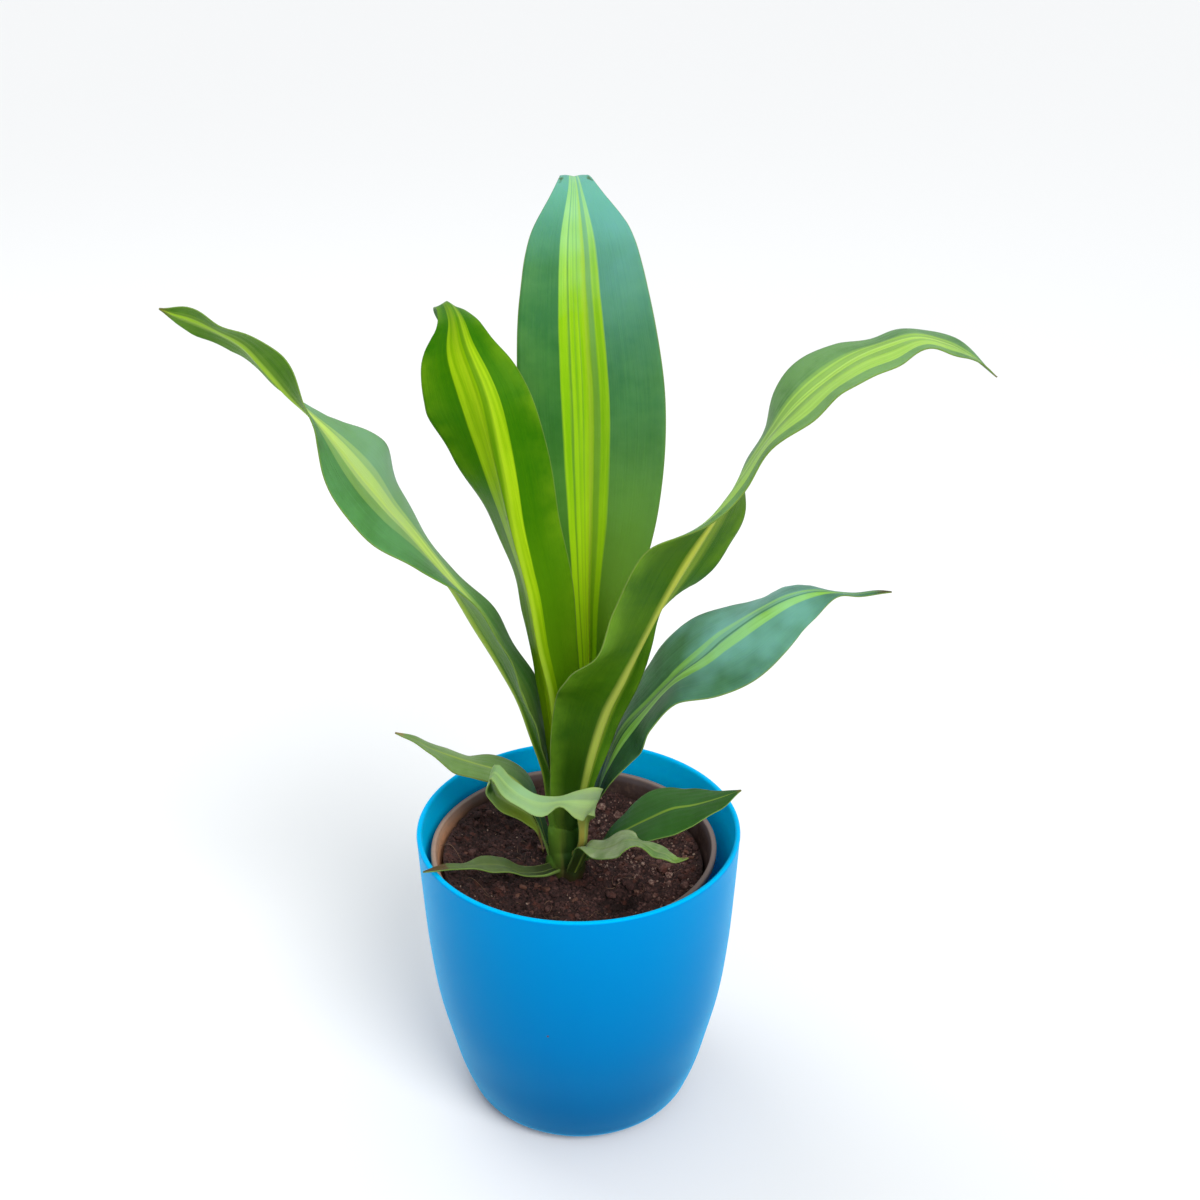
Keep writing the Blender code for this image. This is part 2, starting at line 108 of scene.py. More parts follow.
def mixColour(tree, share, under, over):
    # the share may be several shares, to be multiplied; sockets 6 and 7 are the colours of a colour mix
    if isinstance(share, tuple):
        share = product(tree, *share)
    sockets = {0: share}
    for number, colour in ((6, under), (7, over)):
        sockets[number] = colour if isinstance(colour, bpy.types.NodeSocket) else (*colour, 1.0)
    return addNode(tree, "ShaderNodeMix", sockets, data_type="RGBA").outputs[2]


def colourRamp(tree, value, stops):
    # stops are (place, colour) pairs in rising order
    made = addNode(tree, "ShaderNodeValToRGB", {"Fac": value})
    points = made.color_ramp.elements
    while len(points) < len(stops):
        points.new(1.0)
    for point, (place, colour) in zip(points, stops):
        point.position = place
    for point, (place, colour) in zip(points, stops):
        point.color = (*colour, 1.0)
    return made.outputs["Color"]


def greyRamp(tree, value, stops):
    return colourRamp(tree, value, [(place, (level,) * 3) for place, level in stops])


def evenRamp(tree, value, colours):
    return colourRamp(tree, value, list(zip(np.linspace(0, 1, len(colours)).tolist(), colours)))


def cloud(tree, vector, scale, detail=2.0, roughness=0.5):
    return addNode(tree, "ShaderNodeTexNoise", {"Vector": vector, "Scale": scale, "Detail": detail,
                                                "Roughness": roughness}).outputs["Fac"]


def stretched(tree, vector, scale, place=(0, 0, 0)):
    sockets = {"Vector": vector, "Scale": scale, "Location": place}
    return addNode(tree, "ShaderNodeMapping", sockets).outputs[0]


def newMaterial(name, **constants):
    # a Principled material; the constants go on the shader's own sockets
    material = bpy.data.materials.new(name)
    material.use_nodes = True
    tree = material.node_tree
    shader = tree.nodes["Principled BSDF"]
    for socket, value in constants.items():
        shader.inputs[socket.replace("_", " ")].default_value = value
    return material, tree, shader


def coloured(tree, shader, colour):
    tree.links.new(colour, shader.inputs["Base Color"])


def bumped(tree, shader, height, strength, distance):
    made = addNode(tree, "ShaderNodeBump", {"Height": height, "Strength": strength, "Distance": distance})
    tree.links.new(made.outputs[0], shader.inputs["Normal"])


def addPiece(name, mesh, replaced=None, materials=()):
    piece = bpy.data.objects.new(name, mesh)
    bpy.context.scene.collection.objects.link(piece)
    for material in materials:
        mesh.materials.append(material)
    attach(piece, "root")
    if replaced:
        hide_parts(replaced)
    return piece


def meshFrom(build, name, sharpAngle=50):
    mesh = bpy.data.meshes.new(name)
    build.to_mesh(mesh)
    build.free()
    mesh.shade_smooth()
    mesh.set_sharp_from_angle(angle=math.radians(sharpAngle))
    return mesh


def setValues(mesh, name, values):
    # one value a vertex, for a material to read
    layer = mesh.attributes.new(name, "FLOAT", "POINT")
    layer.data.foreach_set("value", np.asarray(values, np.float32))


# shape maths shared by the pieces

def cubic(knots, values, places):
    # a smooth curve through the values, read at the places
    knots = np.asarray(knots, float)
    values = np.asarray(values, float).reshape(len(knots), -1)
    places = np.atleast_1d(np.asarray(places, float))
    spans = np.diff(knots)
    slopes = np.diff(values, axis=0) / spans[:, None]
    tangents = np.empty_like(values)
    tangents[0], tangents[-1] = slopes[0], slopes[-1]
    before, after = spans[:-1, None], spans[1:, None]
    tangents[1:-1] = (slopes[:-1] * after + slopes[1:] * before) / (before + after)
    index = np.clip(np.searchsorted(knots, places, side="right") - 1, 0, len(knots) - 2)
    span = spans[index][:, None]
    share = ((places - knots[index]) / spans[index])[:, None]
    return (
        (2 * share**3 - 3 * share**2 + 1) * values[index]
        + (share**3 - 2 * share**2 + share) * span * tangents[index]
        + (3 * share**2 - 2 * share**3) * values[index + 1]
        + (share**3 - share**2) * span * tangents[index + 1]
    )


def unit(vectors):
    return vectors / np.linalg.norm(vectors, axis=1)[:, None]


def smoothed(share):
    # eases a share of 0 to 1 at both its ends
    return share * share * (3 - 2 * share)


def easeDown(value, start, end):
    # 1 before start, 0 after end
    return 1 - smoothed(np.clip((np.asarray(value, float) - start) / (end - start), 0, 1))


def ordered(build):
    # puts the corners and faces in the same order on every run
    def rank(place):
        return place.x + 3.17 * place.y + 10.9 * place.z

    build.verts.sort(key=lambda corner: rank(corner.co))
    build.edges.sort(key=lambda edge: rank(edge.verts[0].co) + rank(edge.verts[1].co))
    build.faces.sort(key=lambda face: rank(face.calc_center_median()))


def spun(profile, steps):
    # a profile of (radius, height) that starts and ends on the axis, turned about Z
    build = bmesh.new()
    corners = [build.verts.new((radius * mm, 0, height * mm)) for radius, height in profile]
    edges = [build.edges.new(pair) for pair in zip(corners, corners[1:])]
    bmesh.ops.spin(build, geom=corners + edges, cent=(0, 0, 0), axis=(0, 0, 1), angle=2 * math.pi,
                   steps=steps, use_merge=True)
    bmesh.ops.remove_doubles(build, verts=build.verts, dist=0.01 * mm)
    bmesh.ops.recalc_face_normals(build, faces=build.faces)
    ordered(build)
    return build


# planter

planter = dict(
    height=126.0, rimRadius=65.0, wall=2.2, floor=3.0, steps=160, rings=44, ringEase=1.25, lipSteps=11,
    outline=((0.00, 0.632), (0.03, 0.702), (0.08, 0.749), (0.15, 0.795), (0.25, 0.842),
             (0.40, 0.906), (0.60, 0.954), (0.80, 0.980), (1.00, 1.000)),  # shares of height and rim radius
    corner=((5.0, 0.0), (1.5, 1.0)),  # inside, at the floor: in from the wall, up from the floor
    footRecess=0.9, footRing=5.0, footStep=1.2,
    low=(0.0, 0.048, 0.170), middle=(0.0, 0.155, 0.420), high=(0.0, 0.238, 0.585), inner=(0.0, 0.560, 1.000),
    haze=(0.0, 0.40, 0.84), hazeScale=3.0, hazeStretch=(9, 9, 3), hazeShare=0.10,
    lipHighlight=(0.000, 0.470, 0.920), lipDepth=0.9, lipSoft=0.6,
    speck=(-11.5, -60.2, 69.0), speckSize=0.7, speckColour=(0.10, 0.035, 0.02),
    roughness=0.26, shine=0.04, tint=(0.0, 0.55, 1.0, 1.0), sheen=0.95, sheenRoughness=0.35,
    glow=0.3, glowReach=(0.1, 0.8, 1.5), glowDepth=2.0,
    fineScale=900.0, waveScale=70.0, waveStretch=(1, 1, 0.25), bump=0.10, bumpDepth=0.4,
)


def planterRadius(height, inset=0.0):
    shares, radii = zip(*planter["outline"])
    return planter["rimRadius"] * cubic(shares, radii, height / planter["height"])[0, 0] - inset


def planterMaterial():
    material, tree, shader = newMaterial(
        "bluePlastic", Roughness=planter["roughness"], Specular_IOR_Level=planter["shine"],
        Specular_Tint=planter["tint"], Sheen_Weight=planter["sheen"], Sheen_Tint=planter["tint"],
        Sheen_Roughness=planter["sheenRoughness"], Subsurface_Weight=planter["glow"],
        Subsurface_Radius=planter["glowReach"], Subsurface_Scale=planter["glowDepth"] * mm)
    place = objectPlace(tree)
    height = separated(tree, place)[2]
    fine = cloud(tree, place, planter["fineScale"])
    # painted shade and light: the blue is darkest at the bottom and lightest at the top, as the light falls
    body = evenRamp(tree, spread(tree, height, 0.0, planter["height"] * mm),
                    (planter["low"], planter["middle"], planter["high"]))
    haze = cloud(tree, stretched(tree, place, planter["hazeStretch"]), planter["hazeScale"], 3.0)
    body = mixColour(tree, (haze, planter["hazeShare"]), body, planter["haze"])
    # painted light: the inner wall and floor are painted a much lighter blue than the outside
    body = mixColour(tree, vertexValue(tree, "inside"), body, planter["inner"])
    # painted highlight: a band of lighter blue along the top of the lip
    lipLow = (planter["height"] - planter["lipDepth"]) * mm
    body = mixColour(tree, spread(tree, height, lipLow, lipLow + planter["lipSoft"] * mm), body,
                     planter["lipHighlight"])
    # a brown speck low on the front, with a ragged edge
    away = vectorCalc(tree, "DISTANCE", place, tuple(value * mm for value in planter["speck"]))["Value"]
    ragged = calc(tree, "MULTIPLY_ADD", fine, 1.2 * mm, away)
    speck = spread(tree, ragged, (planter["speckSize"] + 0.5) * mm, (planter["speckSize"] + 0.1) * mm)
    coloured(tree, shader, mixColour(tree, speck, body, planter["speckColour"]))
    slow = cloud(tree, stretched(tree, place, planter["waveStretch"]), planter["waveScale"])
    uneven = calc(tree, "MULTIPLY_ADD", fine, 0.15, slow)
    bumped(tree, shader, uneven, planter["bump"], planter["bumpDepth"] * mm)
    return material


def isInside(place):
    # 1 on the planter's inner wall and floor, 0 outside
    radius = math.hypot(place.x, place.y)
    return float(place.z > planter["floor"] - 1 and radius < planterRadius(place.z) - 0.6 * planter["wall"])


def makePlanter():
    wall, top, floor = planter["wall"], planter["height"], planter["floor"]
    lip = wall / 2
    heights = np.linspace(0, 1, planter["rings"]) ** planter["ringEase"] * (top - 2 * lip)
    inner = [(0, floor)]
    inner += [(planterRadius(floor + up, wall + inwards), floor + up) for inwards, up in planter["corner"]]
    inner += [(planterRadius(z, wall), z) for z in heights if z > 2 * floor]
    edge = [(planter["rimRadius"] - lip + lip * math.cos(turn), top - lip + lip * math.sin(turn))
            for turn in np.linspace(math.pi, 0, planter["lipSteps"])]
    outer = [(planterRadius(z), z) for z in reversed(heights)]
    foot = planterRadius(0.0) - planter["footRing"]
    under = [(foot, 0.0), (foot - planter["footStep"], planter["footRecess"]), (0, planter["footRecess"])]
    mesh = meshFrom(spun(inner + edge + outer + under, planter["steps"]), "bluePlanter")
    setValues(mesh, "inside", [isInside(corner.co / mm) for corner in mesh.vertices])
    addPiece("bluePlanter", mesh, "outer_pot", [planterMaterial()])
    print("planter made")


# nursery pot

nursery = dict(
    centreX=-2.2, top=117.0, low=3.3, lipRadius=57.5, lipHeight=3.0, lipStep=1.2, baseRadius=38.0, wall=1.0,
    steps=144, rings=16, corner=2.0, footUp=1.0, footIn=1.2,
    lipRound=((0.0, 0.7), (0.2, 0.2), (0.6, 0.0)), lipUnder=0.4,  # in from the lip's side, down from its top
    wobble=((0.45, 2, 0.6), (0.25, 3, 2.1), (0.12, 7, 0.3)), wobbleFrom=60.0,  # size, waves round, phase
    drainHoles=6, drainRadius=3.5, drainCircle=26.0, drainSides=24,
    wallDarkShaded=(0.09, 0.058, 0.054), wallWarmLit=(0.74, 0.36, 0.20),
    lipDarkShaded=(0.12, 0.09, 0.095), lipWarmLit=(0.64, 0.36, 0.23), lipBlend=(3.6, 2.4),
    edge=(0.27, 0.19, 0.16), edgeHighlightShare=0.6, warmLitTo=-45.0, warmLitBehind=(34.0, 10.0, 0.15),
    stain=(0.030, 0.013, 0.010), stainShare=0.9, stainFrom=116.5, stainTo=111.0,
    dust=(0.18, 0.11, 0.08), dustShare=0.55, dustScale=420.0, patchScale=60.0,
    roughness=0.45, shine=0.30, bump=0.25, bumpDepth=0.3,
)


def nurseryRadius(height, inset=0.0):
    share = (height - nursery["low"]) / (nursery["top"] - nursery["low"])
    top = nursery["lipRadius"] - nursery["lipStep"]
    return nursery["baseRadius"] + share * (top - nursery["baseRadius"]) - inset


def nurseryMaterial():
    material, tree, shader = newMaterial("nurseryPlastic", Roughness=nursery["roughness"],
                                         Specular_IOR_Level=nursery["shine"])
    place = objectPlace(tree)
    x, y, z = separated(tree, place)
    patch = cloud(tree, place, nursery["patchScale"], 4.0, 0.6)
    top = nursery["top"] * mm
    # painted light and shade: the wall and lip are painted warm and light on the left, less so behind, and
    # dark on the right
    warmLitShare = calc(tree, "MULTIPLY", spread(tree, x, 0.0, nursery["warmLitTo"] * mm),
                  calc(tree, "MULTIPLY_ADD", patch, 1.3, 0.3), clamp=True)
    behind, nearer, least = nursery["warmLitBehind"]
    warmLitShare = product(tree, warmLitShare, spread(tree, y, behind * mm, nearer * mm, least))
    wall = mixColour(tree, warmLitShare, nursery["wallDarkShaded"], nursery["wallWarmLit"])
    lip = mixColour(tree, warmLitShare, nursery["lipDarkShaded"], nursery["lipWarmLit"])
    lipStart, lipEnd = (top - depth * mm for depth in nursery["lipBlend"])
    body = mixColour(tree, spread(tree, z, lipStart, lipEnd), wall, lip)
    # the wall is stained by the soil lower down, less where the painted light falls, and dusty all over
    stain = spread(tree, z, nursery["stainFrom"] * mm, nursery["stainTo"] * mm)
    dry = calc(tree, "MULTIPLY_ADD", warmLitShare, -0.8, 1.0)
    body = mixColour(tree, (stain, spread(tree, patch, 0.3, 0.6), dry, nursery["stainShare"]), body,
                     nursery["stain"])
    dust = cloud(tree, place, nursery["dustScale"], 5.0, 0.7)
    body = mixColour(tree, (spread(tree, dust, 0.52, 0.72), nursery["dustShare"]), body, nursery["dust"])
    # painted highlight: a lighter line along the top edge of the lip
    topEdgeHighlight = window(tree, z, top - 0.8 * mm, top + 2 * mm, 0.4 * mm)
    coloured(tree, shader, mixColour(tree, (topEdgeHighlight, nursery["edgeHighlightShare"]), body, nursery["edge"]))
    bumped(tree, shader, dust, nursery["bump"], nursery["bumpDepth"] * mm)
    return material


def nurseryProfile():
    low, top, wall, corner = nursery["low"], nursery["top"], nursery["wall"], nursery["corner"]
    lipOut = nursery["lipRadius"]
    lipIn = lipOut - nursery["lipStep"] - wall
    lipLow = top - nursery["lipHeight"]
    levels = np.linspace(low + 2 * corner, lipLow, nursery["rings"])
    profile = [(0, low + wall), (nurseryRadius(low, wall + corner), low + wall)]
    profile += [(nurseryRadius(low + corner, wall), low + corner)]
    profile += [(nurseryRadius(z, wall), z) for z in levels]
    profile += [(lipIn + inwards, top - down) for inwards, down in nursery["lipRound"]]
    profile += [(lipOut - inwards, top - down) for inwards, down in reversed(nursery["lipRound"])]
    profile += [(lipOut, lipLow + nursery["lipUnder"]), (lipOut - nursery["lipUnder"], lipLow)]
    profile += [(nurseryRadius(z), z) for z in reversed(levels)]
    profile += [(nurseryRadius(low + nursery["footUp"]), low + nursery["footUp"])]
    return profile + [(nurseryRadius(low, nursery["footIn"]), low), (0, low)]


def makeNurseryPot():
    build = spun(nurseryProfile(), nursery["steps"])
    start = nursery["wobbleFrom"]
    for corner in build.verts:
        # the wall is a little out of round towards its top
        turn = math.atan2(corner.co.y, corner.co.x)
        grow = max(0.0, corner.co.z / mm - start) / (nursery["top"] - start)
        push = grow * sum(size * math.sin(count * turn + phase) for size, count, phase in nursery["wobble"])
        flat = math.hypot(corner.co.x, corner.co.y)
        if flat > 20 * mm:
            corner.co.x *= 1 + push * mm / flat
            corner.co.y *= 1 + push * mm / flat
    bmesh.ops.translate(build, verts=build.verts, vec=(nursery["centreX"] * mm, 0, 0))
    mesh = meshFrom(build, "nurseryPot")
    cutDrainHoles(addPiece("nurseryPot", mesh, "nursery_pot", [nurseryMaterial()]))
    print("nursery pot made")


def cutDrainHoles(piece):
    build = bmesh.new()
    radius, circle = nursery["drainRadius"] * mm, nursery["drainCircle"]
    for number in range(nursery["drainHoles"]):
        turn = 2 * math.pi * (number + 0.5) / nursery["drainHoles"]
        made = bmesh.ops.create_cone(build, cap_ends=True, segments=nursery["drainSides"], radius1=radius,
                                     radius2=radius, depth=6 * mm)
        bmesh.ops.translate(build, verts=made["verts"], vec=(
            (nursery["centreX"] + circle * math.cos(turn)) * mm, circle * mm * math.sin(turn),
            nursery["low"] * mm))
    cutter = bpy.data.objects.new("drainCutter", meshFrom(build, "drainCutter"))
    bpy.context.scene.collection.objects.link(cutter)
    piece.modifiers.new("drain", "BOOLEAN").object = cutter
    graph = bpy.context.evaluated_depsgraph_get()
    opened = bpy.data.meshes.new_from_object(piece.evaluated_get(graph))
    piece.modifiers.clear()
    piece.data = opened
    bpy.data.objects.remove(cutter, do_unlink=True)


# potting soil: one mass of soil, with crumbs, bark chips, pale bits and fibres lying on it

soil = dict(
    level=105.0, dip=0.8, riseToWall=1.6, tilt=(-0.012, -0.016), clear=0.25, cells=150,
    lumps=((0.7, 0.21, 0.17, 1.0), (0.4, -0.11, 0.33, 0.0)),  # height, waves across and beyond, phase
    grain=((1.6, 0.11), (1.3, 0.24), (0.9, 0.52)), grainAt=7.0,  # height and scale of each noise
    hollows=(3.2, 0.20, 0.10), hollowShift=(9, 4, 0),  # depth, scale and the noise level they start at
    pit=(15.0, -21.0, 7.5), pitDepth=8.0, pitPaintedShade=0.5,  # x, y and reach of the deep pit at the front, darkened there as painted shade
    heap=(2.2, 5.4), heapTowards=(-0.8, 0.6), heapFrom=0.60, heapSpan=0.38, calmest=0.3,
    rimDepth=3.0, sideTop=6.0, bottom=5.0, sideRings=6, massTone=0.10, stemFoot=(-5.5, 0.0), stemClear=8.0,
    dark=(0.014, 0.005, 0.004), middle=(0.060, 0.024, 0.021), light=(0.130, 0.063, 0.052),
    bright=(0.36, 0.24, 0.19), red=(0.13, 0.036, 0.022), redShare=0.5, redFrom=0.58, redFull=0.72,
    grainScale=900.0, grainShare=1.5, broadScale=75.0, broadShare=0.45, toneShare=0.55, base=-0.12,
    redScale=210.0, roughness=0.88, shine=0.35, bump=0.8, bumpDepth=0.6,
)


def fromMiddle(x, y):
    # how far out a place is, as a share of the nursery pot's radius at the soil
    return math.hypot(x - nursery["centreX"], y) / nurseryRadius(soil["level"])


def soilHeight(x, y):
    # the CAD soil's surface
    away = math.hypot(x - soil["stemFoot"][0], y) / nurseryRadius(soil["level"])
    slope = soil["riseToWall"] * away * away + soil["tilt"][0] * x + soil["tilt"][1] * y
    lumps = sum(high * math.sin(across * x + phase) * math.cos(beyond * y)
                for high, across, beyond, phase in soil["lumps"])
    return soil["level"] - soil["dip"] + slope + lumps * min(1.0, 2 * away)


def pitShare(x, y):
    # 1 in the middle of the pit
    middleX, middleY, reach = soil["pit"]
    return math.exp(-((x - middleX) ** 2 + (y - middleY) ** 2) / reach ** 2)


def roughHeight(x, y):
    # grains and hollows, and soil heaped against the wall, mostly on the left and behind
    place = Vector((x, y, soil["grainAt"]))
    rough = sum(size * noise.noise(place * scale) for size, scale in soil["grain"])
    depth, scale, start = soil["hollows"]
    pits = depth * max(0.0, noise.noise(place * scale + Vector(soil["hollowShift"])) - start)
    pits += soil["pitDepth"] * pitShare(x, y)
    away = fromMiddle(x, y)
    share = min(1.0, max(0.0, (away - soil["heapFrom"]) / soil["heapSpan"]))
    allRound, sided = soil["heap"]
    towards = soil["heapTowards"][0] * (x - nursery["centreX"]) + soil["heapTowards"][1] * y
    heaped = (allRound + sided * max(0.0, towards / nurseryRadius(soil["level"]))) * smoothed(share)
    calm = soil["calmest"] + (1 - soil["calmest"]) * min(1.0, max(0.0, (1 - away) / 0.1))
    return soilHeight(x, y) + heaped + (rough - pits) * calm


def soilMaterial(name):
    material, tree, shader = newMaterial(name, Roughness=soil["roughness"], Specular_IOR_Level=soil["shine"])
    place = objectPlace(tree)
    grains = cloud(tree, place, soil["grainScale"], 4.0, 0.7)
    broad = cloud(tree, place, soil["broadScale"], 3.0)
    level = calc(tree, "MULTIPLY_ADD", broad, soil["broadShare"], soil["base"])
    level = calc(tree, "MULTIPLY_ADD", vertexValue(tree, "tone"), soil["toneShare"], level)
    level = swung(tree, grains, soil["grainShare"], level)
    body = colourRamp(tree, level, [(0.0, soil["dark"]), (0.35, soil["middle"]), (0.72, soil["light"]),
                                    (1.0, soil["bright"])])
    reddish = spread(tree, cloud(tree, place, soil["redScale"]), soil["redFrom"], soil["redFull"])
    coloured(tree, shader, mixColour(tree, (reddish, soil["redShare"]), body, soil["red"]))
    bumped(tree, shader, grains, soil["bump"], soil["bumpDepth"] * mm)
    return material


def makeSoilMass():
    build = bmesh.new()
    bmesh.ops.create_grid(build, x_segments=soil["cells"], y_segments=soil["cells"], size=1.0)
    inset = nursery["wall"] + soil["clear"]
    topRadius = nurseryRadius(soil["level"] - soil["rimDepth"], inset)
    for corner in build.verts:
        # the square grid is rounded to a disc
        u, v = corner.co.x, corner.co.y
        x = nursery["centreX"] + topRadius * u * math.sqrt(1 - v * v / 2)
        y = topRadius * v * math.sqrt(1 - u * u / 2)
        corner.co = Vector((x, y, roughHeight(x, y))) * mm
    rim = [edge for edge in build.edges if edge.is_boundary]
    centreX = nursery["centreX"]
    for level in np.linspace(soil["level"] - soil["sideTop"], soil["bottom"], soil["sideRings"]):
        made = bmesh.ops.extrude_edge_only(build, edges=rim)["geom"]
        rim = [part for part in made if isinstance(part, bmesh.types.BMEdge)]
        radius = nurseryRadius(level, inset)
        for corner in {corner for edge in rim for corner in edge.verts}:
            turn = math.atan2(corner.co.y, corner.co.x - centreX * mm)
            corner.co = Vector((centreX + radius * math.cos(turn), radius * math.sin(turn), level)) * mm
    bmesh.ops.edgeloop_fill(build, edges=rim)
    bmesh.ops.recalc_face_normals(build, faces=build.faces)
    ordered(build)
    mesh = meshFrom(build, "soilMass", 180)
    # painted shade: the soil in the pit is painted darker
    setValues(mesh, "tone", [soil["massTone"] - soil["pitPaintedShade"] * pitShare(*(corner.co.xy / mm))
                             for corner in mesh.vertices])
    addPiece("soilMass", mesh, "potting_soil", [soilMaterial("soilDark")])


def scatterPlace(chance, edge=2.0):
    # a place on the soil, away from the stem
    while True:
        radius = (nurseryRadius(soil["level"]) - nursery["wall"] - edge) * math.sqrt(chance.random())
        turn = chance.uniform(0, 2 * math.pi)
        x, y = nursery["centreX"] + radius * math.cos(turn), radius * math.sin(turn)
        if math.dist((x, y), soil["stemFoot"]) > soil["stemClear"]:
            return x, y


def addLump(build, chance, centre, size, flatness, rounds, roughness):
    # one irregular lump; returns how many vertices it has
    made = bmesh.ops.create_icosphere(build, subdivisions=rounds, radius=1.0)["verts"]
    angles = [chance.uniform(0, 2 * math.pi) for axis in range(3)]
    stretch = Vector((chance.uniform(0.75, 1.3), chance.uniform(0.7, 1.1), flatness))
    for corner in made:
        place = corner.co * (1 + roughness * chance.uniform(-1, 1)) * stretch
        place.rotate(Euler((0.35 * math.sin(angles[0]), 0.35 * math.sin(angles[1]), angles[2])))
        corner.co = (Vector(centre) + place * size) * mm
    return len(made)


crumbs = dict(
    seed=11, small=6500, large=240, smallSize=(0.22, 0.80), largeSize=(0.9, 2.1), batch=60, rise=0.25,
    flatness=(0.5, 0.9), roughness=0.24, toneCurve=2.5, pitPaintedShade=1.2, leftFrom=-8.0, leftPaintedShade=0.15,
    pale=(20.0, 18.0, 500.0, 0.70), rightPale=(-4.0, 12.0, 0.22),
)


def joined(build, batch):
    # adds the batch to the build and gives a new, empty batch
    spare = bpy.data.meshes.new("spare")
    batch.to_mesh(spare)
    batch.free()
    build.from_mesh(spare)
    bpy.data.meshes.remove(spare)
    return bmesh.new()


def paleAt(x, y):
    # the loose grains behind the stem on the right are paler; those in the pit and on the far left are
    # darker, as painted shade
    middleX, middleY, reach, most = crumbs["pale"]
    pale = most * math.exp(-((x - middleX) ** 2 + (y - middleY) ** 2) / reach)
    start, span, right = crumbs["rightPale"]
    pale += right * min(1.0, max(0.0, (x - start) / span))
    return pale - crumbs["pitPaintedShade"] * pitShare(x, y) - crumbs["leftPaintedShade"] * (x < crumbs["leftFrom"])


def makeCrumbs():
    chance = random.Random(crumbs["seed"])
    build, batch = bmesh.new(), bmesh.new()
    tones = []
    for kind, rounds in (("small", 1), ("large", 2)):
        low, high = crumbs[kind + "Size"]
        for number in range(crumbs[kind]):
            if number % crumbs["batch"] == 0:
                batch = joined(build, batch)
            x, y = scatterPlace(chance)
            size = low + (high - low) * chance.random() ** 2
            centre = (x, y, roughHeight(x, y) + crumbs["rise"] * size)
            used = addLump(batch, chance, centre, size, chance.uniform(*crumbs["flatness"]), rounds,
                           crumbs["roughness"])
            tones += [chance.random() ** crumbs["toneCurve"] + paleAt(x, y)] * used
    joined(build, batch).free()
    mesh = meshFrom(build, "soilCrumbs", 40)
    setValues(mesh, "tone", tones)
    addPiece("soilCrumbs", mesh, None, [soilMaterial("soilCrumb")])
    print("crumbs made:", len(tones), "points")


# placed chips are (x, y, length)
chips = dict(
    seed=5, count=46, size=(1.2, 3.4), width=(0.45, 0.8), depth=(0.22, 0.42), tilt=0.4, uneven=0.12,
    bevel=0.16, rise=0.30, fromWall=4.0,
    colour=(0.115, 0.040, 0.024), light=(0.21, 0.105, 0.07), dark=(0.045, 0.015, 0.010),
    placed=((-13.0, -17.0, 3.6), (24.5, 8.0, 3.4), (14.0, 21.0, 2.8), (27.0, 15.0, 2.4), (-17.0, -13.0, 3.0)),
)


def chipMaterial():
    material, tree, shader = newMaterial("barkChip", Roughness=0.75, Specular_IOR_Level=0.4)
    place = objectPlace(tree)
    lines = cloud(tree, stretched(tree, place, (1, 1, 4)), 420.0, 4.0, 0.6)
    streaked = calc(tree, "MULTIPLY_ADD", lines, 1.2, -0.5)
    share = calc(tree, "MULTIPLY_ADD", vertexValue(tree, "tone"), 0.7, streaked, clamp=True)
    body = mixColour(tree, share, chips["dark"], chips["light"])
    coloured(tree, shader, mixColour(tree, cloud(tree, place, 150.0), body, chips["colour"]))
    bumped(tree, shader, lines, 0.6, 0.4 * mm)
    return material


def makeChips():
    chance = random.Random(chips["seed"])
    build = bmesh.new()
    tones = []
    spots = list(chips["placed"])
    for number in range(chips["count"]):
        spots.append((*scatterPlace(chance, chips["fromWall"]), chance.uniform(*chips["size"])))
    spare = bpy.data.meshes.new("spareChip")
    for x, y, size in spots:
        chip = bmesh.new()
        bmesh.ops.create_cube(chip, size=1.0)
        bmesh.ops.bevel(chip, geom=chip.verts[:] + chip.edges[:], offset=chips["bevel"], affect="EDGES",
                        segments=2, profile=0.5, material=-1)
        tilt = chips["tilt"]
        around = Euler((chance.uniform(-tilt, tilt), chance.uniform(-tilt, tilt), chance.uniform(0, 6.28)))
        scale = Vector((size, size * chance.uniform(*chips["width"]), size * chance.uniform(*chips["depth"])))
        middle = Vector((x, y, roughHeight(x, y) + chips["rise"] * scale.z))
        for corner in chip.verts:
            place = corner.co * scale * (1 + chips["uneven"] * chance.uniform(-1, 1))
            place.rotate(around)
            corner.co = (middle + place) * mm
        tones += [chance.random()] * len(chip.verts)
        chip.to_mesh(spare)
        chip.free()
        build.from_mesh(spare)
    mesh = meshFrom(build, "barkChips", 35)
    setValues(mesh, "tone", tones)
    addPiece("barkChips", mesh, None, [chipMaterial()])


def twoToned(name, roughness, scale, detail, dark, light):
    # a plain material between two colours
    material, tree, shader = newMaterial(name, Roughness=roughness)
    coloured(tree, shader, mixColour(tree, cloud(tree, objectPlace(tree), scale, detail), dark, light))
    return material


bits = dict(
    seed=23, count=60, size=(0.22, 0.55), rise=0.5, flatness=0.7, uneven=0.25,
    colour=(0.40, 0.28, 0.22), dark=(0.20, 0.12, 0.09),
)


def makePaleBits():
    chance = random.Random(bits["seed"])
    build = bmesh.new()
    for number in range(bits["count"]):
        x, y = scatterPlace(chance)
        size = chance.uniform(*bits["size"])
        centre = (x, y, roughHeight(x, y) + bits["rise"] * size)
        addLump(build, chance, centre, size, bits["flatness"], 1, bits["uneven"])
    material = twoToned("paleGrit", 0.8, 260.0, 3.0, bits["dark"], bits["colour"])
    addPiece("paleBits", meshFrom(build, "paleBits", 40), None, [material])


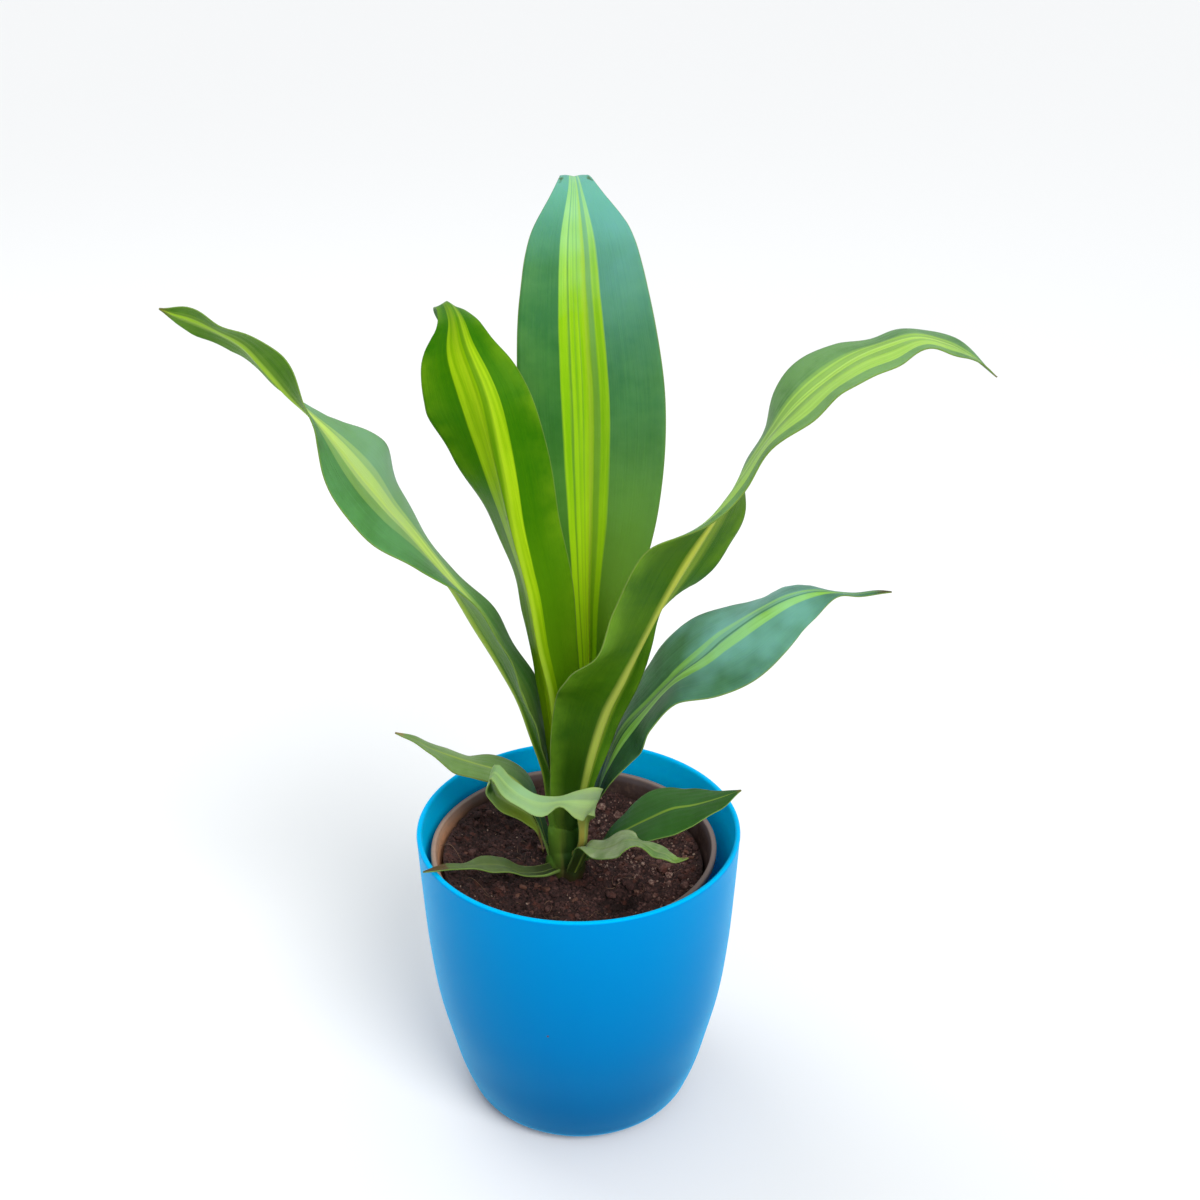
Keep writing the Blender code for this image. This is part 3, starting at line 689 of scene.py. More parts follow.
# placed fibres are points (x, y, z) that the fibre passes through
fibres = dict(
    seed=31, count=42, length=(3.0, 10.0), thickness=(0.06, 0.12), placedThickness=0.13, rings=14, taper=0.35,
    fromWall=9.0, inside=3.0, curl=0.9, lift=0.35, arch=0.6,
    colour=(0.30, 0.17, 0.10), dark=(0.12, 0.055, 0.03),
    placed=(((-56.0, -1.0, 116.5), (-50.5, -6.0, 119.5), (-44.0, -10.5, 109.0)),
            ((-47.0, -12.0, 107.0), (-42.0, -16.0, 111.0), (-35.5, -22.0, 107.5)),
            ((-47.5, -14.5, 107.0), (-46.5, -20.0, 109.5), (-44.5, -26.0, 107.5)),
            ((28.0, 31.0, 118.5), (26.0, 25.0, 113.0), (21.0, 15.0, 107.5)),
            ((30.0, 12.0, 108.0), (25.0, 16.0, 110.5), (18.0, 12.0, 107.5))),
)


def addFibre(build, points, thickness):
    # a thin three-sided thread, extruded along the points and tapering to its ends
    last = fibres["rings"] - 1
    path = cubic(np.linspace(0, 1, len(points)), points, np.linspace(0, 1, last + 1))
    path = [Vector(point) for point in path]
    ahead = [(path[min(index + 1, last)] - path[max(index - 1, 0)]).normalized() for index in range(last + 1)]
    swell = [fibres["taper"] + (1 - fibres["taper"]) * math.sin(math.pi * index / last)
             for index in range(last + 1)]
    ring = bmesh.ops.create_circle(build, cap_ends=True, segments=3, radius=swell[0] * thickness)["verts"]
    turn = ahead[0].to_track_quat("Z", "Y")
    for corner in ring:
        corner.co = turn @ corner.co + path[0]
    edges = list({edge for corner in ring for edge in corner.link_edges})
    for index in range(1, last + 1):
        made = bmesh.ops.extrude_edge_only(build, edges=edges)["geom"]
        edges = [part for part in made if isinstance(part, bmesh.types.BMEdge)]
        turn = ahead[index - 1].rotation_difference(ahead[index])
        grow = swell[index] / swell[index - 1]
        for corner in (part for part in made if isinstance(part, bmesh.types.BMVert)):
            corner.co = path[index] + turn @ (corner.co - path[index - 1]) * grow
    bmesh.ops.edgeloop_fill(build, edges=edges)


def makeFibres():
    chance = random.Random(fibres["seed"])
    build = bmesh.new()
    for points in fibres["placed"]:
        addFibre(build, points, fibres["placedThickness"])
    for number in range(fibres["count"]):
        x, y = scatterPlace(chance, fibres["fromWall"])
        length, turn = chance.uniform(*fibres["length"]), chance.uniform(0, 6.28)
        curl = chance.uniform(-fibres["curl"], fibres["curl"])
        points = []
        for arch in (0.0, fibres["arch"], fibres["arch"], 0.0):
            points.append((x, y, roughHeight(x, y) + fibres["lift"] + arch * chance.random()))
            x += length / 3 * math.cos(turn)
            y += length / 3 * math.sin(turn)
            turn += curl * chance.uniform(0.4, 1.2)
        reach = nurseryRadius(soil["level"]) - fibres["inside"]
        if all(math.hypot(point[0] - nursery["centreX"], point[1]) < reach for point in points):
            addFibre(build, points, chance.uniform(*fibres["thickness"]))
    bmesh.ops.scale(build, verts=build.verts, vec=(mm, mm, mm))
    bmesh.ops.recalc_face_normals(build, faces=build.faces)
    material = twoToned("coirFibre", 0.6, 120.0, 2.0, fibres["dark"], fibres["colour"])
    addPiece("coirFibres", meshFrom(build, "coirFibres", 180), None, [material])
    print("soil made")


# stem, with a low ridge where each leaf's sheath ends

# points are (x, y, z, radius); greens are (share across from left to right, colour)
stem = dict(
    points=((-5.5, 0.0, 62.0, 5.0), (-5.5, 0.0, 82.0, 5.8), (-5.5, 0.0, 102.0, 6.6),
            (-5.3, 0.1, 112.0, 6.4), (-5.0, 0.3, 124.0, 5.7), (-4.0, 0.5, 136.0, 4.8),
            (-3.0, 0.7, 146.0, 3.9), (-2.5, 0.8, 152.0, 2.6)),
    around=72, along=180, ribs=0.10, ribCount=34, ribLean=0.02,
    ridge=1.6, ridgeAbove=5.0, ridgeBelow=16.0, ridgeFrom=55.0, ridgeReach=125.0,
    greensFrom=-8.5, greensTo=2.0, wander=4.0, lineShare=0.22, lowEnd=110.0, highStart=128.0,
    lowGreens=((0.0, (0.065, 0.150, 0.018)), (0.24, (0.075, 0.130, 0.018)), (0.36, (0.090, 0.105, 0.026)),
               (0.46, (0.016, 0.034, 0.009)), (0.62, (0.016, 0.048, 0.010)), (0.80, (0.030, 0.085, 0.018)),
               (1.0, (0.022, 0.060, 0.012))),
    highGreens=((0.0, (0.150, 0.310, 0.030)), (0.30, (0.130, 0.240, 0.024)), (0.42, (0.100, 0.170, 0.020)),
                (0.52, (0.040, 0.090, 0.012)), (1.0, (0.030, 0.095, 0.012))),
    soilLine=(0.040, 0.018, 0.010), soilFrom=112.0, soilTo=104.0,
    roughness=0.42, shine=0.15, tint=(0.55, 1.0, 0.45, 1.0), bump=0.35, bumpDepth=0.3,
)


def stemAt(height):
    # centre and radius of the stem
    heights = [point[2] for point in stem["points"]]
    return [np.interp(height, heights, [point[place] for point in stem["points"]]) for place in (0, 1, 3)]


def litAndShadedSheathGreens(tree, place):
    # the greens of the stem and of the sheaths on it: painted light on the left, painted shade on the right
    x, _, z = separated(tree, place)
    lines = cloud(tree, stretched(tree, place, (1, 1, 0.05)), 700.0, 3.0, 0.6)
    broad = cloud(tree, stretched(tree, place, (1, 1, 0.3)), 160.0, 3.0)
    wander = calc(tree, "MULTIPLY_ADD", broad, stem["wander"] * mm, x)
    across = spread(tree, wander, stem["greensFrom"] * mm, stem["greensTo"] * mm)
    across = swung(tree, lines, stem["lineShare"], across)
    raised = spread(tree, z, stem["lowEnd"] * mm, stem["highStart"] * mm)
    low, high = (colourRamp(tree, across, stem[greens]) for greens in ("lowGreens", "highGreens"))
    return mixColour(tree, raised, low, high)


def stemMaterial():
    material, tree, shader = newMaterial("stemSkin", Roughness=stem["roughness"],
                                         Specular_IOR_Level=stem["shine"], Specular_Tint=stem["tint"])
    place = objectPlace(tree)
    low = spread(tree, separated(tree, place)[2], stem["soilFrom"] * mm, stem["soilTo"] * mm)
    dirt = calc(tree, "ADD", cloud(tree, place, 500.0, 4.0, 0.7), 0.3)
    coloured(tree, shader, mixColour(tree, (low, dirt), litAndShadedSheathGreens(tree, place), stem["soilLine"]))
    lines = cloud(tree, stretched(tree, place, (1, 1, 0.06)), 900.0, 3.0, 0.6)
    bumped(tree, shader, lines, stem["bump"], stem["bumpDepth"] * mm)
    return material


def ridgeAt(height, turn):
    # how far the sheaths stand out from the stem; they are highest where a leaf leaves it
    ridge = 0.0
    for leaf in leaves.values():
        rootHeight, direction = leaf["root"][:2]
        below = rootHeight - height
        off = abs((math.degrees(turn) - direction + 180) % 360 - 180)
        if -stem["ridgeAbove"] < below < stem["ridgeBelow"] and off < stem["ridgeReach"]:
            reach = float(easeDown(off, stem["ridgeFrom"], stem["ridgeReach"]))
            share = 1 - (below / stem["ridgeBelow"] if below > 0 else -below / stem["ridgeAbove"])
            ridge = max(ridge, stem["ridge"] * reach * smoothed(share))
    return ridge


def makeStem():
    build = bmesh.new()
    bmesh.ops.create_grid(build, x_segments=stem["along"], y_segments=stem["around"], size=0.5)
    low, high = stem["points"][0][2], stem["points"][-1][2]
    for corner in build.verts:
        height = low + (corner.co.x + 0.5) * (high - low)
        turn = 2 * math.pi * (corner.co.y + 0.5)
        middleX, middleY, radius = stemAt(height)
        radius += stem["ribs"] * math.sin(stem["ribCount"] * turn + stem["ribLean"] * height)
        radius += ridgeAt(height, turn)
        x, y = middleX + radius * math.cos(turn), middleY + radius * math.sin(turn)
        corner.co = Vector((x, y, height)) * mm
    bmesh.ops.remove_doubles(build, verts=build.verts, dist=0.005 * mm)
    bmesh.ops.holes_fill(build, edges=[edge for edge in build.edges if edge.is_boundary], sides=0)
    bmesh.ops.recalc_face_normals(build, faces=build.faces)
    addPiece("stemSkin", meshFrom(build, "stemSkin", 60), "stem", [stemMaterial()])
    print("stem made")


# leaves: each blade is a grid laid along its midrib, the upper face; a Solidify gives its thickness downwards

blade = dict(
    step=1.6, cells=34, nudge=0.01, smallestHalf=0.25, smallestBend=0.01,
    thickness=0.45, ribThickness=1.35, ribWidth=2.0, ribTaper=0.7, baseLength=20.0, tipLength=9.0,
    lift=0.3, groove=0.28, grooveWidth=1.4, grooveFade=0.6, plication=0.06, plicationWidth=3.1,
    fineWidth=12.0, rippleFrom=30.0, rippleApart=1.7, claspLength=24.0, claspShare=0.3,
    sink=1.1, sinkLength=11.0,
)


def bladePoints(leaf, lengths, sides):
    # points on the upper face, for shares of the length, 0 to 1, and of the width, -1 (right) to 1 (left)
    height, direction, rootWidth, standOff = leaf["root"]
    middleX, middleY, radius = stemAt(height)
    reach = radius + standOff
    turn = math.radians(direction)
    hold = max(rootWidth, leaf.get("clasp", 1.0) * reach)
    root = (middleX + reach * math.cos(turn), middleY + reach * math.sin(turn), height, hold, 0, hold, 0)
    rows = np.array([root, *leaf["stations"]], float)
    knots = np.concatenate(([0], np.cumsum(np.linalg.norm(np.diff(rows[:, :3], axis=0), axis=1))))
    total = knots[-1]
    places = lengths * total
    state = cubic(knots, rows, places)
    nudge = blade["nudge"] * total
    along = unit(cubic(knots, rows[:, :3], np.clip(places + nudge, 0, total))
                 - cubic(knots, rows[:, :3], np.clip(places - nudge, 0, total)))
    shares, headings = zip(*leaf["heading"])
    heading = np.radians(cubic(shares, headings, lengths)[:, 0])
    flatLeft = np.stack([-np.sin(heading), np.cos(heading), np.zeros_like(heading)], axis=1)
    left = unit(flatLeft - np.sum(along * flatLeft, axis=1)[:, None] * along)
    upper = np.cross(along, left)
    # the half width narrows to the tip, and each half bends over its width
    isLeft = sides > 0
    half = np.where(isLeft, state[:, 3], state[:, 5])
    tip = np.clip((total - places) / blade["tipLength"], 0, 1)
    half = np.maximum(half * np.sqrt(1 - (1 - tip) ** 2), blade["smallestHalf"])
    clasp = hold / reach * easeDown(places, 0, min(blade["claspLength"], blade["claspShare"] * total))
    bend = math.radians(leaf["bend"]) - clasp
    bend = np.where(np.abs(bend) < blade["smallestBend"], blade["smallestBend"], bend)
    start = np.radians(np.where(isLeft, state[:, 4], state[:, 6])) + clasp / 2 + bend / 2
    end = start - bend * np.abs(sides)
    across = half * (np.sin(start) - np.sin(end)) / bend * np.sign(sides)
    rise = half * (np.cos(end) - np.cos(start)) / bend
    points = state[:, :3] + left * across[:, None] + upper * rise[:, None]
    # the fine relief, along the surface's own normal
    normal = upper * np.cos(end)[:, None] - left * (np.sign(sides) * np.sin(end))[:, None]
    away = sides * half
    groove = blade["groove"] * np.exp(-(away / blade["grooveWidth"]) ** 2)
    relief = blade["lift"] - groove * (1 - blade["grooveFade"] * lengths)
    fine = np.clip(half / blade["fineWidth"], 0, 1)
    relief += blade["plication"] * fine * np.cos(2 * math.pi * away / blade["plicationWidth"])
    size, wave, phase = leaf["ripple"]
    edges = np.abs(sides) ** 3 * np.clip(places / blade["rippleFrom"], 0, 1) * fine
    relief += size * edges * np.sin(2 * math.pi * places / wave + phase + blade["rippleApart"] * isLeft)
    relief += blade["sink"] * easeDown(places, 0, blade["sinkLength"])
    return points + normal * relief[:, None], half, total


# A face's look is made of these; leaves below change what they need. Places along run from 0 at the root to 1
# at the tip, places across from -1 on the right to 1 on the left, both as seen from the stem.
# green, band: the deep and the light colour of the leaf and of its stripes
# stripes: (place across, level from there on); fade: levels along; drift: shift across, 0.5 for none
# low: colours near the root on the right and left, and where they end; high: (colour, start) near the tip
# bandLowLight: (colour, end) of the stripes near the root, lightened as painted light; edge: (colour, level)
# of a painted highlight towards the margins
# paintedSheen: the colour of a painted sheen, a sky reflection painted in, on the green and on the stripes,
# levels along, shares on the right and left
# rib: (half width, colours along, levels along) of the midrib; spots: (along, across, size, colour)
faceDefaults = dict(
    low=None, lowLevel=0.85, high=None, highSpan=0.12, bandLowLight=None, edge=None, edgeHighlightGain=1.6,
    veinShare=0.45, patchShare=0.75, weaveShare=0.18,
    stripes=None, stripeLevel=1.0, ragged=0.030, slowDrift=0.02, soft=0.006, drift=None,
    fade=((0, 1), (0.9, 1), (1, 0.4)), bandPatches=0.35,
    paintedSheen=None, paintedSheenCloud=(1.0, 0.2), paintedSheenScale=24.0,
    margin=(0.22, 0.30, 0.08), marginLevel=0.5, tip=(0.985, (0.16, 0.11, 0.03)), tipSoft=0.02,
    ribAt=0.0, spots=(), spotLevel=0.85, sheath=(26.0, 11.0),
    rough=0.42, roughSpan=0.12, shine=0.12, tint=(0.45, 1.0, 0.30, 1.0), bump=0.45, bumpDepth=0.15,
    glow=0.20, glowReach=(0.6, 1.0, 0.15), glowDepth=1.2,
)


def stripeRamp(tree, across, stripes, soft):
    # the level of each stripe holds from its place up to the next one's
    stops = [(0.0, stripes[0][1])]
    for (place, level), (_, old) in zip(stripes[1:], stripes):
        stops += [((place + 1) / 2 - soft, old), ((place + 1) / 2 + soft, level)]
    for index in range(1, len(stops)):
        stops[index] = (max(stops[index][0], stops[index - 1][0] + 0.0005), stops[index][1])
    return greyRamp(tree, across, stops)


def bladeCloud(tree, grid, cellsAlong, cellsAcross, detail, roughness=0.5, shift=(0, 0, 0)):
    return cloud(tree, stretched(tree, grid, (cellsAlong, cellsAcross, 1), shift), 1.0, detail, roughness)


def leafMaterial(name, leaf, face, length, width):
    look = {**faceDefaults, **leaf[face]}
    material, tree, shader = newMaterial(
        name, Specular_IOR_Level=look["shine"], Specular_Tint=look["tint"], Subsurface_Weight=look["glow"],
        Subsurface_Radius=look["glowReach"], Subsurface_Scale=look["glowDepth"] * mm)
    grid = addNode(tree, "ShaderNodeUVMap", uv_map="UVMap").outputs["UV"]
    place = objectPlace(tree)
    along, across = separated(tree, grid)[:2]
    veins = spread(tree, bladeCloud(tree, grid, length / 50, width * 0.9, 4.0, 0.7))
    streaks = bladeCloud(tree, grid, length / 90, width * 0.36, 3.0, 0.6, (3, 5, 0))
    slow = bladeCloud(tree, grid, length / 45, 1.5, 2.0, 0.5, (7, 1, 0))
    weave = spread(tree, bladeCloud(tree, grid, length / 3.5, width / 9, 2.0))
    patches = spread(tree, cloud(tree, place, 42.0, 4.0, 0.6))
    halves = spread(tree, across, 0.40, 0.60)
    side = calc(tree, "ABSOLUTE", calc(tree, "MULTIPLY_ADD", across, 2.0, -1.0))

    # green field: veins and soft patches between a deep and a light green
    tone = swung(tree, veins, look["veinShare"], 0.5)
    tone = swung(tree, patches, look["patchShare"], tone)
    tone = swung(tree, weave, look["weaveShare"], tone, clamp=True)
    field = mixColour(tree, tone, *look["green"])
    if look["low"]:
        rightLow, leftLow, lowEnd = look["low"]
        lowColour = mixColour(tree, halves, rightLow, leftLow)
        lowShare = spread(tree, along, lowEnd, lowEnd * 0.45)
        field = mixColour(tree, (lowShare, look["lowLevel"]), field, lowColour)
    if look["edge"]:
        # painted highlight: the green is painted lighter in patches towards the margins
        edgeHighlight, edgeHighlightLevel = look["edge"]
        outer = spread(tree, side, 0.55, 0.98)
        field = mixColour(tree, (outer, patches, edgeHighlightLevel * look["edgeHighlightGain"]), field, edgeHighlight)

    # stripes with ragged edges
    wander = swung(tree, streaks, look["ragged"], swung(tree, slow, look["slowDrift"], across))
    if look["drift"]:
        drift = greyRamp(tree, along, look["drift"])
        wander = calc(tree, "SUBTRACT", wander, calc(tree, "SUBTRACT", drift, 0.5))
    mask = product(tree, stripeRamp(tree, wander, look["stripes"] or leaf["stripes"], look["soft"]),
                   greyRamp(tree, along, look["fade"]), look["stripeLevel"])
    bandTone = swung(tree, patches, look["bandPatches"], spread(tree, streaks, 0.36, 0.60), clamp=True)
    band = mixColour(tree, bandTone, *look["band"])
    if look["bandLowLight"]:
        # painted light: the stripes near the root are painted lighter, against the shade among the leaves
        lowBandLight, lowEnd = look["bandLowLight"]
        band = mixColour(tree, spread(tree, along, lowEnd, lowEnd * 0.4), band, lowBandLight)
    if look["paintedSheen"]:
        # painted sheen: pale blue-green patches painted where the leaf's face would reflect the sky
        fieldSheen, bandSheen, levels, (rightShare, leftShare) = look["paintedSheen"]
        cloudy = spread(tree, cloud(tree, place, look["paintedSheenScale"], 3.0, 0.55))
        cloudy = calc(tree, "MULTIPLY_ADD", cloudy, *look["paintedSheenCloud"])
        level = calc(tree, "MULTIPLY", greyRamp(tree, along, levels), cloudy, clamp=True)
        sided = spread(tree, halves, 0.0, 1.0, rightShare, leftShare)
        field = mixColour(tree, (level, sided), field, fieldSheen)
        band = mixColour(tree, spread(tree, level, 0.42, 0.95), band, bandSheen)
    body = mixColour(tree, mask, field, band)
    if look["high"]:
        highColour, highStart = look["high"]
        highShare = spread(tree, along, highStart, highStart + look["highSpan"])
        body = mixColour(tree, (highShare, calc(tree, "MULTIPLY_ADD", mask, -0.6, 0.9)), body, highColour)

    # midrib, margin, dry tip, spots and sheath; a spot is a brown speck or a dark patch of painted shade
    ribHalf, ribColours, ribLevels = look["rib"]
    fromRib = calc(tree, "ABSOLUTE", swung(tree, wander, 2.0, -look["ribAt"]))
    nearRib = spread(tree, fromRib, ribHalf * 1.3, ribHalf * 0.6)
    ribShare = greyRamp(tree, along, ribLevels)
    body = mixColour(tree, (nearRib, ribShare), body, evenRamp(tree, along, ribColours))
    onMargin = spread(tree, side, 1 - 1.0 / width, 1 - 0.3 / width)
    body = mixColour(tree, (onMargin, look["marginLevel"]), body, look["margin"])
    tipStart, tipColour = look["tip"]
    dry = spread(tree, swung(tree, patches, look["tipSoft"], along), tipStart, tipStart + look["tipSoft"])
    body = mixColour(tree, dry, body, tipColour)
    for spotAlong, spotAcross, size, colour in look["spots"]:
        fromSpot = vectorCalc(tree, "SUBTRACT", grid, (spotAlong, (spotAcross + 1) / 2, 0))["Vector"]
        reach = vectorCalc(tree, "LENGTH", stretched(tree, fromSpot, (length, width, 1)))["Value"]
        spot = spread(tree, calc(tree, "MULTIPLY_ADD", weave, size * 0.8, reach), size * 1.6, size * 0.9)
        body = mixColour(tree, (spot, look["spotLevel"]), body, colour)
    if leaf.get("clasp", 1.0) == 1.0:
        # the sheath of a leaf that wraps the stem is coloured as the stem is, with the same painted light and
        # shade
        sheathEnd, sheathFull = look["sheath"]
        body = mixColour(tree, spread(tree, along, sheathEnd / length, sheathFull / length), body,
                         litAndShadedSheathGreens(tree, place))
    coloured(tree, shader, body)
    roughness = calc(tree, "MULTIPLY_ADD", patches, look["roughSpan"], look["rough"] - look["roughSpan"] / 2)
    tree.links.new(roughness, shader.inputs["Roughness"])
    uneven = calc(tree, "MULTIPLY_ADD", patches, 1.2, veins)
    bumped(tree, shader, uneven, look["bump"], look["bumpDepth"] * mm)
    return material


def makeLeaf(node, leaf):
    total = bladePoints(leaf, np.zeros(1), np.zeros(1))[2]
    build = bmesh.new()
    build.loops.layers.uv.new("UVMap")
    bmesh.ops.create_grid(build, x_segments=round(total / blade["step"]), y_segments=blade["cells"], size=0.5,
                          calc_uvs=True)
    lengths = np.array([corner.co.x + 0.5 for corner in build.verts])
    sides = np.array([2 * corner.co.y for corner in build.verts])
    points, half, total = bladePoints(leaf, lengths, sides)
    for corner, point in zip(build.verts, points):
        corner.co = Vector(point * mm)
    name = leaf["piece"]
    width = 2 * float(np.max(half))
    materials = [leafMaterial(name + face.capitalize(), leaf, face, total, width)
                 for face in ("upper", "lower")]
    piece = addPiece(name, meshFrom(build, name, 180), node, materials)
    # the blade is thicker along its midrib and at its base
    weights = np.exp(-(sides * half / blade["ribWidth"]) ** 2) * (1 - lengths) ** blade["ribTaper"]
    weights = np.maximum(weights, easeDown(lengths * total, 0, blade["baseLength"]))
    rib = piece.vertex_groups.new(name="rib")
    for index, weight in enumerate(weights.tolist()):
        rib.add([index], weight, "REPLACE")
    skin = piece.modifiers.new("thickness", "SOLIDIFY")
    skin.thickness = blade["ribThickness"] * mm
    skin.offset = -1.0
    skin.vertex_group = "rib"
    skin.thickness_vertex_group = blade["thickness"] / blade["ribThickness"]
    skin.material_offset = skin.material_offset_rim = 1
    print("leaf made:", name, round(total), "mm long")


# lower and upper faces that look alike on several leaves
plainLower = dict(
    green=((0.07, 0.15, 0.016), (0.11, 0.24, 0.045)), band=((0.15, 0.27, 0.03), (0.23, 0.39, 0.06)),
    rib=(0.06, ((0.28, 0.36, 0.06), (0.26, 0.38, 0.08)), ((0, 0.9), (1, 0.5))), rough=0.5,
)
plainUpper = dict(
    green=((0.04, 0.15, 0.01), (0.065, 0.215, 0.04)), band=((0.23, 0.4, 0.01), (0.32, 0.54, 0.03)),
    rib=(0.03, ((0.3, 0.42, 0.06), (0.3, 0.5, 0.05)), ((0, 0.6), (1, 0.4))),
)

# Each leaf has a root on the stem (height, direction in degrees, half width, distance from the stem's skin),
# a bend in degrees over each half's width, a heading in degrees as (share of the length, heading) pairs, and
# a clasp where its base wraps less than fully round the stem. A station is a point of the midrib (x, y, z),
# then the width and lift in degrees of the left half and of the right half. A ripple is (size, wave length,
# phase) along the margins. Stripes are on both faces, unless a face has its own.
leaves = {}

leaves["leaf_back_tall"] = dict(
    piece="backTallBlade", root=(144, 80, 4.0, 0.8), bend=15, heading=((0, 90), (1, 90)),
    stations=(
        (2, 10, 159, 7, 35, 8, 35),
        (4, 13, 185, 12, 38, 14, 45),
        (4, 15, 219, 19, 38, 22, 45),
        (4, 18, 260, 25, 33, 28, 18),
        (4, 22, 298, 27, 20, 30, 18),
        (2, 31, 333, 24, 20, 26, 20),
        (1, 43, 354, 18, 15, 19, 15),
        (0, 56, 366, 9, 12, 9, 12),
        (-1, 70, 369, 5.5, 5, 5.5, 5),
        (-2, 86, 364, 5, 5, 5, 5),
        (-3, 98, 352, 0.8, 5, 0.8, 5),
    ),
    ripple=(0.35, 34, 0.0),
    stripes=((-1, 0), (-0.285, 0.95), (-0.165, 0.45), (-0.075, 1), (0.065, 0.6), (0.085, 1), (0.14, 0.7),
        (0.155, 1), (0.235, 0.3), (0.262, 1), (0.392, 0)),
    upper=dict(
        green=((0.028, 0.142, 0.018), (0.062, 0.21, 0.036)), patchShare=1.2,
        # painted light: the light low colours near the root, the right one lightest
        low=((0.22, 0.4, 0.008), (0.1, 0.24, 0.01), 0.55),
        paintedSheen=((0.15, 0.41, 0.4), (0.4, 0.74, 0.33),
            ((0, 0), (0.3, 0.05), (0.58, 0.14), (0.68, 0.45), (0.77, 1), (1, 1)), (1.0, 0.2)),
        # painted sheen: the pale blue-green high colour towards the tip
        paintedSheenCloud=(0.5, 0.62), bandLowLight=((0.56, 0.8, 0.01), 0.46), high=((0.13, 0.41, 0.32), 0.72),
        # painted shade: two dark green patches at the curled corners near the top
        spots=((0.865, 0.85, 3.5, (0.05, 0.12, 0.03)), (0.865, -0.85, 3.5, (0.05, 0.12, 0.03))),
        edge=((0.11, 0.24, 0.04), 0.2), band=((0.23, 0.48, 0.004), (0.33, 0.57, 0.012)), ribAt=-0.04,
        rib=(0.03, ((0.46, 0.5, 0.08), (0.4, 0.54, 0.04), (0.39, 0.66, 0.09)),
            ((0, 0.9), (0.5, 0.6), (1, 0.3))),
    ),
    lower=plainLower,
)

leaves["leaf_left_upright"] = dict(
    piece="leftUprightBlade", root=(142, 240, 3.0, 1.1), bend=15, heading=((0, 262), (1, 262)),
    stations=(
        (-8, -5, 168, 8, 30, 6, 30),
        (-10, -7, 190, 12, 28, 11, 50),
        (-14, -8, 210, 15, 28, 15, 60),
        (-17, -9, 231, 17, 27, 19, 62),
        (-23, -9, 259, 18, 27, 22, 55),
        (-28, -7, 286, 18.5, 20, 23, 33),
        (-34, -2, 310, 16.5, 22, 23, 16),
        (-40, 6, 324, 12, 25, 17, 15),
        (-43, 15, 332, 8, 25, 8, 25),
        (-46, 24, 334, 5.5, 25, 5, 30),
        (-49, 36, 329, 4, 20, 4, 20),
        (-51, 46, 319, 0.8, 10, 0.8, 10),
    ),
    ripple=(0.3, 30, 0.8), stripes=((-1, 0), (-0.53, 0.9), (-0.15, 0.3), (-0.01, 0.95), (0.22, 0)),
    upper=plainUpper,
    lower=dict(
        green=((0.026, 0.145, 0.0), (0.052, 0.185, 0.0)), fade=((0, 1), (0.78, 1), (0.88, 0.3), (1, 0)),
        drift=((0, 0.5), (0.42, 0.5), (0.7, 0.57), (1, 0.57)),
        low=((0.21, 0.38, 0.003), (0.115, 0.26, 0.003), 0.55), edge=((0.21, 0.39, 0.01), 0.35),
        band=((0.22, 0.41, 0.001), (0.38, 0.58, 0.008)),
        rib=(0.055, ((0.42, 0.6, 0.06), (0.4, 0.58, 0.02), (0.24, 0.42, 0.01)),
            ((0, 0.9), (0.5, 0.5), (1, 0.3))),
        spots=((0.515, -0.17, 1.0, (0.13, 0.09, 0.01)),),
    ),
)

